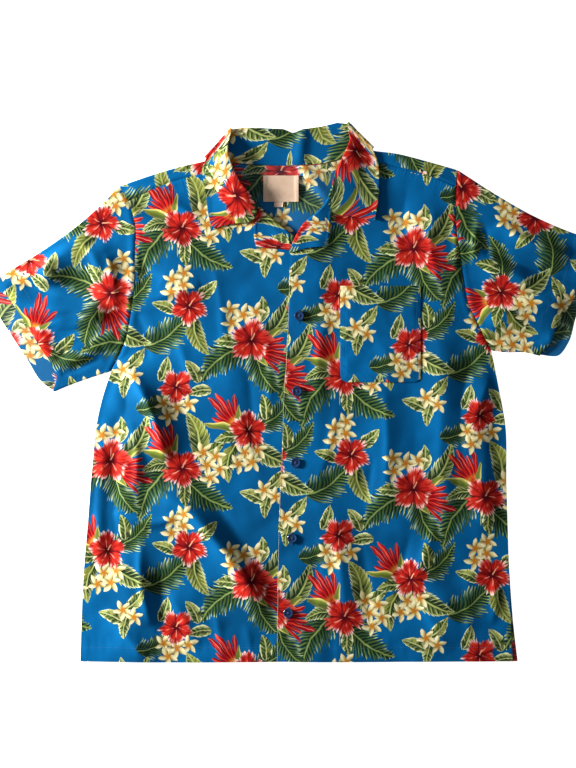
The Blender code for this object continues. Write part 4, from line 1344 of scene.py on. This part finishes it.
# ---- the sleeves ----
def sleeve(name, parts, fold_table, fine_table, body_at, shift):
    """A flat tube: the front layer from the overarm to the underarm, and the back layer back again."""
    around, along = ARMHOLE_PARTS * ACROSS_FINE, 10 * ALONG_FINE
    side = parts["side"]
    over_start, under_start, over_end, under_end = SLEEVE_LEVELS
    armhole = spread(parts["armhole"], around)[::-1] + (side * (SEAM_GAP + 0.05), 0.0)
    over = spread(parts["over"], along)
    under = spread(parts["under"], along)
    front_hem, back_hem = spread(parts["front_hem"], around), spread(parts["back_hem"], around)
    plan = patch(over, under, armhole, front_hem)
    back_plan = patch(over, under, armhole, back_hem)
    s = np.linspace(0.0, 1.0, along + 1)
    t = np.linspace(0.0, 1.0, around + 1)
    edge_levels = (
        over_start + (over_end - over_start) * s,
        under_start + (under_end - under_start) * s,
        body_at(*xy(armhole)),
        over_end + (under_end - over_end) * t,
    )
    level = patch(*(edge[:, None] for edge in edge_levels))[..., 0]
    x, y = xy(plan)
    inside = smooth(np.minimum(t, 1 - t) * 4)[None, :] * smooth(s * 3.5)[:, None]
    close = smooth(np.minimum(t, 1 - t) * 9)[None, :]
    level += folds(fold_table, x, y) * inside + creases(fine_table, x, y) * close
    level += ripple(x, y, seed=5) * close
    level += (held_up(level) - level) * close
    away, _, run = nearest(armhole, x, y)
    level += seam_relief(away) + pucker(away, run * ARMHOLE_RUN, seed=23)
    away, _, run = nearest(front_hem, x, y)
    level += hem_relief(away, SLEEVE_HEM_DEPTH) + pucker(away - SLEEVE_HEM_DEPTH, run * CUFF_RUN, seed=29)
    upper = np.dstack([plan, level])
    x, y = xy(back_plan)
    lift = under_ridges(fine_table, x, y) * close
    lower = np.dstack([back_plan, BACK_LEVEL + under_hem(back_hem, SLEEVE_HEM_DEPTH, x, y) + lift])
    lean = np.clip(1 - np.arange(along + 1) / ALONG_FINE, 0.0, 1.0)[:, None]
    under_out = outward(under, -side) * (1 - 0.3 * lean) + np.array([side, 0.0, 0.0]) * 0.7 * lean
    under_turn = turned(upper[:, -1], lower[:, -1], under_out)
    over_turn = turned(lower[:, 0], upper[:, 0], outward(over, side))
    grid = np.concatenate([upper, under_turn, lower[:, ::-1], over_turn], axis=1)
    # The cut cloth opens at the underarm seam, and its two halves are mirrored about the overarm fold.
    turn = math.atan2(*(over[0] - over[-1])[::-1]) - math.pi / 2
    upper_cut = rotated(grid[:, : around + 1 + TURN_STEPS, :2], turn)
    lower_cut = rotated(grid[:, around + TURN_STEPS :, :2], turn)
    lower_cut = np.concatenate([lower_cut, upper_cut[:, :1]], axis=1)
    fold_line = rotated(over, turn)[:, None, 0]
    lower_cut[:, :-1, 0] = 2 * fold_line - lower_cut[:, :-1, 0]
    corners = np.concatenate([grid_corners(upper_cut), grid_corners(lower_cut)], axis=1).reshape(-1, 4, 2)
    faces = grid_faces(*grid.shape[:2], closed=True)
    if side < 0:
        faces, corners = faces[:, ::-1], corners[:, ::-1]
    return cloth(name, grid.reshape(-1, 3), faces, corners, shift)


def rotated(points, angle):
    """Plan points turned back by an angle, which lays a sleeve's cloth with its cap up."""
    c, s = math.cos(angle), math.sin(angle)
    x, y = xy(points)
    return np.stack([x * c + y * s, y * c - x * s], axis=-1)


def outward(line, side):
    """The level direction square to a line at each of its points, to one side of it."""
    run = np.gradient(line, axis=0)
    square = np.column_stack([-run[:, 1], run[:, 0], np.zeros(len(run))])
    return side * square / np.hypot(*run.T)[:, None]


def turned(start, end, out):
    """The columns of points on the half circle by which cloth turns from one level to another."""
    middle, half = (start + end) / 2, (start - end) / 2
    radius = np.linalg.norm(half, axis=1)[:, None]
    angles = np.pi * np.arange(1, TURN_STEPS + 1) / (TURN_STEPS + 1)
    return np.stack([middle + half * math.cos(a) + out * radius * math.sin(a) for a in angles], axis=1)


# ---- collar and lapels ----
def collar():
    """The collar, doubled over at its roll: the stand inside and the fall outside."""
    right, left = (
        [section(row, collar_level(*row[2:4]), 0.0) for row in table]
        for table in (COLLAR_RIGHT, COLLAR_LEFT)
    )
    back = [section(row, COLLAR_UNDER_LEVEL, math.pi) for row in COLLAR_BACK]
    turns = collar_turn(COLLAR_TURN_RIGHT, -1), collar_turn(COLLAR_TURN_LEFT, 1)[::-1]
    grid = refined(spread_sections(np.array(right + turns[0] + back + turns[1] + left)))
    roll = grid[:, STAND_COLUMNS]
    along, across = distances(roll), distances_across(grid)
    cut = np.dstack([np.broadcast_to(along[:, None], across.shape), across])
    # The roll stands up beside the neck, and a crease runs down the middle of the back.
    columns = np.arange(grid.shape[1])
    share = np.minimum(columns / STAND_COLUMNS, columns[::-1] / FALL_COLUMNS)
    stands = smooth((roll[:, 1] - STANDS_FROM) / 46) * smooth((STANDS_TO - roll[:, 1]) / 38)
    stands = stands * (grid[:, -1, 2] > 4.0)
    stands = np.convolve(np.pad(stands, 4, mode="edge"), np.ones(9) / 9, mode="valid")
    rise = COLLAR_RISE + COLLAR_RISE_MORE * smooth(-roll[:, 0] / 40)
    grid[..., 2] += smooth(share)[None, :] * (rise * stands)[:, None]
    x, y = xy(grid)
    on_stand = (columns <= STAND_COLUMNS)[None, :] * smooth((y - BACK_NECK) / 14)
    notch_x, notch_y = NOTCH_PLACE
    grid[..., 2] += BACK_NOTCH * on_stand * bell(x - notch_x - 0.1 * (y - notch_y), 9)
    # The fall's outer edge and its two ends are turned in, so they are thicker than the rest.
    from_end = np.minimum(along, along[-1] - along)[:, None]
    beyond_roll = across > across[:, STAND_COLUMNS, None]
    rim = np.minimum(across[:, -1:] - across, np.where(beyond_roll, from_end, FAR_AWAY))
    uneven = ripple(*xy(cut), seed=7, height=0.2, shortest=14.0, longest=45.0)
    uneven = uneven * smooth(rim / 8) * smooth(across / 8)
    raised = (edge_bead(rim) + uneven) * (columns > STAND_COLUMNS + 3)
    grid = grid - grid_normals(grid) * raised[..., None]
    return cloth_grid("collar", grid[::-1], cut[::-1], COLLAR_SHIFT, thickness=COLLAR_SHELL)


def grid_normals(grid):
    """The direction square to a grid at each of its points."""
    normal = np.cross(np.gradient(grid, axis=1), np.gradient(grid, axis=0))
    return normal / np.maximum(np.linalg.norm(normal, axis=2), 1e-9)[..., None]


def collar_level(x, y):
    """The middle of the doubled collar where it lies on a front."""
    front_level = BODY_LEVEL if x < 0 else float(left_level(np.array(x), np.array(y)))
    return front_level + COLLAR_HALF + COLLAR_EASE


def section(row, level, angle, out=(0.0, 0.0)):
    """One section of the collar, from the neck seam over the roll to the edge of the fall.

    angle turns the side that the fall is on from above, at 0, to below, at pi, by way of out.
    """
    neck, roll, first, second, edge = np.column_stack([np.reshape(row, (5, 2)), np.full(5, level)])
    fall_side = COLLAR_HALF * np.array([*(math.sin(angle) * np.array(out)), math.cos(angle)])
    inward = unit(neck - roll) * COLLAR_HALF
    stand = [place - fall_side for place in (neck, (neck + roll) / 2, roll)]
    rolled = [roll - fall_side * math.cos(a) - inward * math.sin(a) for a in np.radians((45, 90, 135))]
    return stand + rolled + [place + fall_side for place in (roll, first, second, edge)]


def collar_turn(line, side):
    """The sections where the collar turns under itself about a line beside the shoulder."""
    head, foot = np.array(line[:2], float), np.array(line[2:], float)
    along = unit(foot - head)
    out = np.array([-along[1], along[0]])
    out *= side * np.sign(out[0])
    radius = (collar_level(*head) - COLLAR_UNDER_LEVEL) / 2
    made = []
    for angle in np.radians(np.arange(0, 181, 15)):
        roll = head + out * (radius * math.sin(angle) - radius - COLLAR_HALF)
        row = np.concatenate([roll + (foot - head) * part for part in COLLAR_TURN_PARTS])
        made.append(section(row, COLLAR_UNDER_LEVEL + radius * (1 + math.cos(angle)), angle, out))
    return made


def spread_sections(sections):
    """Sections with more put between those that are far apart, on smooth lines."""
    rows = [sections[0]]
    for i in range(1, len(sections)):
        far = np.linalg.norm(sections[i, 2] - sections[i - 1, 2])
        pieces = max(1, round(far / COLLAR_STEP))
        before = sections[max(i - 2, 0)]
        after = sections[min(i + 1, len(sections) - 1)]
        bow = sections[i] + sections[i - 1] - before - after
        bow[..., 2] = 0.0
        straight_run = far < COLLAR_BEND_FROM or np.abs(bow).max() > 2 * COLLAR_BEND_FROM
        for k in range(1, pieces + 1):
            t = k / pieces
            straight = sections[i - 1] * (1 - t) + sections[i] * t
            rows.append(straight if straight_run else straight + bow * t * (1 - t) / 4)
    return np.array(rows)


def refined(grid):
    """Each row of a collar with its points on a smooth line: the stand, the roll and the fall."""
    runs = ((0, 3, STAND_COLUMNS - 1), (2, 7, ROLLED_COLUMNS), (6, None, FALL_COLUMNS))
    return np.array([
        joined(*(spread(row[first:end], count) for first, end, count in runs)) for row in grid
    ])


def lapel(name, roll, outer, lower, level, side, shift):
    """A facing turned back at its roll line, with a short return under the front."""
    rows, columns = ROLL_PARTS * ALONG_FINE, 6 * ACROSS_FINE
    gorge = spread([roll[-1], outer[-1]], columns)
    roll, outer = spread(roll, rows), spread(outer, rows)
    plan = patch(roll, outer, spread(lower, columns), gorge)
    run = np.gradient(roll, axis=0)
    out = side * np.stack([-run[:, 1], run[:, 0]], axis=1) / np.linalg.norm(run, axis=1)[:, None]
    middle = level(*xy(roll))
    strips = []
    for back_by in np.linspace(FACING_RETURN, 1.0, 4):
        place = roll - out * back_by
        strips.append(np.column_stack([place, level(*xy(place)) - TURN_GAP]))
    for a in np.radians(np.arange(0, 160, 18)):
        place = roll + out * TURN_GAP * math.sin(a)
        strips.append(np.column_stack([place, middle - TURN_GAP * math.cos(a)]))
    x, y = xy(plan)
    rim = np.minimum(distance_to(outer, x, y), distance_to(lower, x, y))
    off_roll = smooth(distance_to(roll, x, y) / 12)
    uneven = ripple(x, y, seed=31, height=0.2, shortest=14.0, longest=40.0)
    z = level(x, y) + TURN_GAP + (edge_bead(rim) + uneven) * off_roll
    grid = np.concatenate([np.stack(strips, axis=1), np.dstack([plan, z])], axis=1)
    across = distances_across(grid)
    across -= across[:, len(strips), None]
    cut = roll[:, None] + across[..., None] * out[:, None]
    if side < 0:
        grid, cut = grid[::-1], cut[::-1]
    return cloth_grid(name, grid, cut, shift)


# ---- what lies on the panels ----
def pocket():
    """The patch pocket: the left front's own surface moved out a layer, with turned edges and a hem."""
    left, right, low, high, corner = POCKET
    plan = rectangle(POCKET, 58, 70)
    for side, inward in ((left, 1), (right, -1)):
        from_side = np.abs(plan[..., 0] - side)
        cut_off = np.clip((corner - from_side) / corner, 0.0, 1.0)
        near_foot = np.clip(1 - (plan[..., 1] - low) / (2 * corner), 0.0, 1.0)
        plan[..., 1] += 0.5 * corner * cut_off**2 * near_foot
        plan[..., 0] += inward * 0.15 * corner * near_foot**2 * (from_side < corner)
    x, y = xy(plan)
    rim = np.minimum(np.minimum(x - left, right - x), y - low)
    from_top = high - y
    z = left_level(x, y) + ripple(x, y, PANEL_SEED) + LAYER + POCKET_EASE
    uneven = ripple(x, y, seed=41, height=0.4, shortest=18.0, longest=60.0)
    z += np.maximum(uneven * smooth(rim / 12), -0.25)
    z += edge_bead(rim, crest=3.0, width=2.4, dip=0.8, dip_width=0.9)
    z += pucker(rim - EDGE_STITCH, x + y, seed=43, reach=6.0)
    z -= POCKET_DROP * (1.0 - smooth(rim / 10))
    z += hem_relief(from_top, POCKET_HEM) + 1.3 * bell(from_top, 14) * smooth(rim / 30)
    return cloth_grid("pocket", np.dstack([plan, z]), plan, POCKET_SHIFT)


def tape(name, size, folded):
    """A woven tape sewn down flat, with its ends turned under and its long edges a little raised."""
    left, right, low, high = size
    plan = rectangle(size, 36, 28)
    x, y = xy(plan)
    end = np.minimum(x - left, right - x)
    edge = np.minimum(high - y, y - low)
    z = back_level(x, y + LABEL_LEAD) + LABEL_RISE
    z += 0.5 * smooth(folded - end)
    z += 0.16 * bell(edge - 0.8, 0.6)
    z += 0.25 * np.sin(x / 9.0) * np.sin(y / 13.0)
    piece, _ = shell(name + "_tape", *grid_parts(np.dstack([plan, z]), plan), LABEL_SHELL)
    return dress(piece, name, TAPE)


def circle(sides):
    """Points round a circle with a radius of 1."""
    return [(math.cos(a), math.sin(a)) for a in (2 * math.pi * k / sides for k in range(sides))]


def tube_faces(start, rings, sides):
    """The faces of a closed tube whose points are numbered from start, ring by ring."""
    faces = [
        (low + k, low + n, low + sides + n, low + sides + k)
        for low in range(start, start + (rings - 1) * sides, sides)
        for k, n in ((k, (k + 1) % sides) for k in range(sides))
    ]
    foot = tuple(range(start + sides - 1, start - 1, -1))
    return faces + [foot, tuple(range(start + (rings - 1) * sides, start + rings * sides))]


def button(number, x, y):
    """A four-hole button with a turned rim and a sunken middle, sewn on with a cross of thread."""
    radius, thick, sides = BUTTON_DIAMETER / 2, BUTTON_THICKNESS, BUTTON_SIDES
    level = float(left_level(np.array(float(x)), np.array(float(y)))) + CLOTH / 2 + SEAM_GAP + 0.1
    points = [
        (share * radius * c, share * radius * s, height * thick)
        for share, height in BUTTON_PROFILE
        for c, s in (circle(sides) if share else [(0.0, 0.0)])
    ]
    rings = [1 + ring * sides for ring in range(len(BUTTON_PROFILE) - 2)]
    faces = []
    for k in range(sides):
        n = (k + 1) % sides
        faces.append((0, rings[0] + k, rings[0] + n))
        faces += [(low + k, high + k, high + n, low + n) for low, high in zip(rings, rings[1:])]
        faces.append((rings[-1] + k, len(points) - 1, rings[-1] + n))
    piece = mesh_piece(f"button_{number}_turned", points, faces, (x, y, level))
    cutter = hole_cutter(x, y, level)
    cut = piece.modifiers.new("holes", "BOOLEAN")
    cut.object = cutter
    apply_modifiers(piece)
    bpy.data.objects.remove(cutter, do_unlink=True)
    dress(piece, f"button_{number}", BUTTON_GLOSS)
    thread_cross(number, x, y, level + BUTTON_PROFILE[0][1] * thick)


def apply_modifiers(piece):
    """The piece's mesh as its modifiers leave it."""
    graph = bpy.context.evaluated_depsgraph_get()
    made = bpy.data.meshes.new_from_object(piece.evaluated_get(graph))
    piece.modifiers.clear()
    piece.data = made
    soften(made, 40)


def hole_cutter(x, y, level):
    """Four rods through a button."""
    half, sides = BUTTON_HOLE_SPACING / 2, 16
    points, faces = [], []
    for sx, sy in ((-1, -1), (-1, 1), (1, -1), (1, 1)):
        faces += tube_faces(len(points), 2, sides)
        points += [
            (sx * half + BUTTON_HOLE / 2 * c, sy * half + BUTTON_HOLE / 2 * s, height)
            for height in (-1.0, BUTTON_THICKNESS + 1.0)
            for c, s in circle(sides)
        ]
    return mesh_piece("hole_cutter", points, faces, (x, y, level))


def strands(name, paths, radius, material, sides=6):
    """Round threads along several paths, as one piece."""
    points, faces = [], []
    for path in paths:
        path = np.array(path, float)
        run = np.gradient(path, axis=0)
        run /= np.linalg.norm(run, axis=1)[:, None]
        across = np.cross(run, (0.0, 0.0, 1.0))
        across /= np.maximum(np.linalg.norm(across, axis=1), 1e-9)[:, None]
        up = np.cross(across, run)
        faces += tube_faces(len(points), len(path), sides)
        for place, a, b, end in zip(path, across, up, np.linspace(-1, 1, len(path))):
            size = radius * (0.55 if abs(end) == 1 else 1.0)
            points += [place + (a * c + b * s) * size for c, s in circle(sides)]
    return dress(mesh_piece(name, points, faces), None, material)


def thread_cross(number, x, y, level):
    """The thread through a button's four holes, as two crossing strands of three turns each."""
    half = BUTTON_HOLE_SPACING / 2
    paths = []
    for turn, top in ((1, 0.62), (-1, 0.5)):
        steps = [(1.0, -0.9), (0.97, 0.1), (0.6, 0.42), (0.0, top)]
        steps += [(-reach, rise) for reach, rise in steps[2::-1]]
        for beside in (-0.35, 0.0, 0.35):
            across = np.array([beside * turn, -beside, 0.0]) / math.sqrt(2)
            paths.append([
                np.array([x + reach * half, y + turn * reach * half, level + rise]) + across
                for reach, rise in steps
            ])
    strands(f"button_{number}_thread", paths, THREAD_RADIUS, NAVY_THREAD)


# ---- stitches ----
def surface_of(piece, side=1):
    """A function that gives a piece's height at (x, y), from above, or from below with side -1."""
    tree = BVHTree.FromObject(piece, bpy.context.evaluated_depsgraph_get())

    def height(x, y):
        hit = tree.ray_cast((x * MM, y * MM, side * 0.1), (0.0, 0.0, -side))[0]
        return None if hit is None else hit.z / MM

    return height


def stitches(
    name, piece, lines, material, side=1, pitch=STITCH_PITCH, length=STITCH_LENGTH, radius=STITCH_RADIUS
):
    """Rows of stitches along lines on a piece: each one dips into the cloth at its ends."""
    height = surface_of(piece, side)
    paths = []
    for line in lines:
        count = max(1, round(distances(line)[-1] / pitch))
        dense = spread(line, 12 * count)
        share = 12 * length / pitch
        for i in range(count):
            marks = [round(12 * i + share * part) for part in (0.0, 0.3, 0.7, 1.0)]
            places = [dense[min(mark, len(dense) - 1)] for mark in marks]
            levels = [height(*place) for place in places]
            if None in levels or max(levels) - min(levels) > 1.5:
                continue
            proud = (-0.25, radius * 0.6, radius * 0.6, -0.25)
            paths.append([(x, y, z + side * rise) for (x, y), z, rise in zip(places, levels, proud)])
    return strands(name, paths, radius, material, sides=5)


def shifted(line, x, y):
    return np.array(line, float) + (x, y)


def between(line, low, high):
    """The part of a line whose x is from low to high."""
    line = spread(line, 60)
    return line[(line[:, 0] >= low) & (line[:, 0] <= high)]


def buttonhole(name, piece, x, y):
    """An upright buttonhole: two close rows of thread with a bar at each end."""
    height = surface_of(piece)
    half, rows = BUTTONHOLE_LENGTH / 2, int(BUTTONHOLE_LENGTH / BUTTONHOLE_PITCH)
    paths = [
        [
            (x + side * (0.35 + 1.1 * (k % 2)), y - half + BUTTONHOLE_LENGTH * k / rows)
            for k in range(rows + 1)
        ]
        for side in (-1, 1)
    ]
    paths += [
        [(x + 1.6 * (1 if k % 2 else -1), y + end * (half + 0.35 * (k // 2) - 0.5)) for k in range(8)]
        for end in (-1, 1)
    ]
    risen = [[(*place, height(*place) + 0.12) for place in path] for path in paths]
    return strands(name, risen, THREAD_RADIUS, BLUE_THREAD, sides=5)


def sew(made):
    """Every row of stitches and every buttonhole, each laid on the cloth it is sewn to."""
    on = {name: [] for name in made}

    def row(name, node, lines, material, **options):
        on[node].append(stitches(name, made[node], lines, material, **options))

    for end, node, hem, low, high, side in (
        ("right", "front_right", HEM_RIGHT, -284, -17, 1),
        ("left", "front_left", HEM_LEFT, -12, 314, 1),
        ("back", "back_panel", HEM_BACK, -284, 318, -1),
    ):
        line = between(shifted(hem, 0, HEM_DEPTH - HEM_STITCH), low, high)
        row("hem_stitches_" + end, node, [line], BLUE_THREAD, side=side)
    edge = np.array(FRONT_EDGE_LEFT, float)
    line = shifted(edge[edge[:, 1] < 190], 0.9, 0)
    row("edge_stitches_left", "front_left", [line], CREAM_THREAD, pitch=2.5, length=2.1, radius=0.3)
    tack = [(176, 311.5), (191, 307.5)]
    row("shoulder_tack", "front_left", [tack], CREAM_THREAD, pitch=4.6, length=2.6, radius=0.34)
    for name, parts in (("sleeve_right", SLEEVE_RIGHT), ("sleeve_left", SLEEVE_LEFT)):
        over = np.array(parts["over"], float)
        back_by = unit(over[0] - over[-1]) * (SLEEVE_HEM_DEPTH - HEM_STITCH)
        for key, end, side in (("front_hem", "cuff_stitches", 1), ("back_hem", "cuff_stitches_back", -1)):
            line = spread(parts[key], 30)[1:-1] + back_by
            row(name.replace("sleeve", end), name, [line], BLUE_THREAD, side=side)
    left, right, low, high, corner = POCKET
    left, right, foot = left + EDGE_STITCH, right - EDGE_STITCH, low + EDGE_STITCH
    mouth, cut_off = high - 1.5, corner * 0.6
    outline = [
        (left, mouth), (left, foot + cut_off), (left + cut_off, foot),
        (right - cut_off, foot), (right, foot + cut_off), (right, mouth),
    ]
    lines = [[start, end] for start, end in zip(outline, outline[1:])]
    lines.append([(left, high - POCKET_HEM + 2), (right, high - POCKET_HEM + 2)])
    lines += [[(x, high - 13), (x + turn, high - 1.6)] for x, turn in ((left, 7.0), (right, -7.0))]
    row("pocket_stitches", "pocket", lines, BLUE_THREAD)
    for end, outer, inward, lower in (
        ("right", LAPEL_RIGHT[0], EDGE_STITCH, [(32, 203), (0, 207), (-36, 209.5)]),
        ("left", LAPEL_LEFT[0], -EDGE_STITCH, [(10, 203), (30, 209), (52, 211)]),
    ):
        row("lapel_stitches_" + end, "lapel_" + end, [shifted(outer, inward, 3), lower], BLUE_THREAD)
    for end, table in (("right", COLLAR_RIGHT), ("left", COLLAR_LEFT)):
        rows = np.reshape(table, (-1, 5, 2))
        edge = [row_edge + unit(fall - row_edge) * EDGE_STITCH for *_, fall, row_edge in rows]
        row("collar_stitches_" + end, "collar", [edge[1:-1]], BLUE_THREAD)
    for number, (x, y) in enumerate(BUTTONS, 1):
        on["front_left"].append(buttonhole(f"buttonhole_{number}", made["front_left"], x, y - 1.0))


# ---- camera, light and floor ----
# In millimetres, at the photo's shape of 576 by 768
VIEW_WIDTH = 818.0
VIEW_HEIGHT = VIEW_WIDTH * 768 / 576
VIEW_MIDDLE = (2.1, 11.4)
EYE_HEIGHT = 3000.0
# In metres and watts
WINDOW_PLACE = (-1.84, 0.36, 0.52)
WINDOW_SIZE = 0.40
WINDOW_POWER = 118.0
WINDOW_COLOUR = (1.0, 0.99, 0.97)
WORLD_COLOUR = (0.95, 0.97, 1.0)
WORLD_STRENGTH = 0.28
FLOOR_SIZE = 12.0
FLOOR_HEIGHT = -0.0002
FLOOR_GLOW = 0.72


def camera():
    data = bpy.data.cameras.new("camera")
    data.sensor_fit = "VERTICAL"
    data.angle_y = 2 * math.atan(VIEW_HEIGHT / 2 / EYE_HEIGHT)
    data.clip_start, data.clip_end = 0.05, 30.0
    eye = placed("camera", data)
    eye.location = (VIEW_MIDDLE[0] * MM, VIEW_MIDDLE[1] * MM, EYE_HEIGHT * MM)
    bpy.context.scene.camera = eye


def window():
    """A soft lamp low at the image's left, turned to the garment's middle."""
    data = bpy.data.lights.new("window", "AREA")
    data.shape, data.size, data.energy, data.color = "DISK", WINDOW_SIZE, WINDOW_POWER, WINDOW_COLOUR
    lamp = placed("window", data)
    lamp.location = WINDOW_PLACE
    x, y, z = WINDOW_PLACE
    lamp.rotation_euler = (math.atan2(math.hypot(x, y), z), 0.0, math.atan2(y, x) + math.pi / 2)


def studio():
    """The pale world, the lamp, the view and the floor."""
    world = bpy.data.worlds.new("studio")
    world.use_nodes = True
    background = world.node_tree.nodes["Background"]
    background.inputs["Color"].default_value = (*WORLD_COLOUR, 1.0)
    background.inputs["Strength"].default_value = WORLD_STRENGTH
    bpy.context.scene.world = world
    window()
    bpy.context.scene.view_settings.view_transform = "Standard"
    bpy.context.scene.view_settings.look = "Medium High Contrast"
    half = FLOOR_SIZE / 2
    sheet = bpy.data.meshes.new("floor")
    corners = [(-half, -half, 0), (half, -half, 0), (half, half, 0), (-half, half, 0)]
    sheet.from_pydata(corners, [], [(0, 1, 2, 3)])
    sheet.materials.append(floor_material())
    floor = placed("floor", sheet)
    floor.location = (0.0, 0.0, FLOOR_HEIGHT)


def main():
    camera()
    studio()
    made = {"back_panel": back_panel(), "front_right": front_right(), "front_left": front_left()}
    right = (SLEEVE_RIGHT, FOLDS_SLEEVE_RIGHT, CREASES_SLEEVE_RIGHT, right_level, SLEEVE_RIGHT_SHIFT)
    left = (SLEEVE_LEFT, FOLDS_SLEEVE_LEFT, CREASES_SLEEVE_LEFT, left_level, SLEEVE_LEFT_SHIFT)
    for name, given in (("sleeve_right", right), ("sleeve_left", left)):
        made[name] = sleeve(name, *given)
    made["collar"] = collar()
    right = (ROLL_RIGHT, *LAPEL_RIGHT, right_level, -1, LAPEL_RIGHT_SHIFT)
    left = (ROLL_LEFT, *LAPEL_LEFT, left_level, 1, LAPEL_LEFT_SHIFT)
    for name, given in (("lapel_right", right), ("lapel_left", left)):
        made[name] = lapel(name, *given)
    made["pocket"] = pocket()
    for name, size, folded in (("neck_label", LABEL, 5.0), ("size_tab", SIZE_TAB, 1.5)):
        made[name] = tape(name, size, folded)
    for number, (x, y) in enumerate(BUTTONS, 1):
        button(number, x, y)
    sew(made)


MOTIFS = {draw.__name__: motif_group(draw) for _, draw in SLOTS}
PRINTED = printed_cloth()
TAPE = woven_tape()
BLUE_THREAD = thread("blue_thread", (0.002, 0.075, 0.21), (0.006, 0.13, 0.33))
CREAM_THREAD = thread("cream_thread", (0.42, 0.36, 0.22), (0.72, 0.66, 0.48))
NAVY_THREAD = thread("navy_thread", (0.01, 0.03, 0.12), (0.03, 0.08, 0.25))
BUTTON_GLOSS = button_gloss()
main()
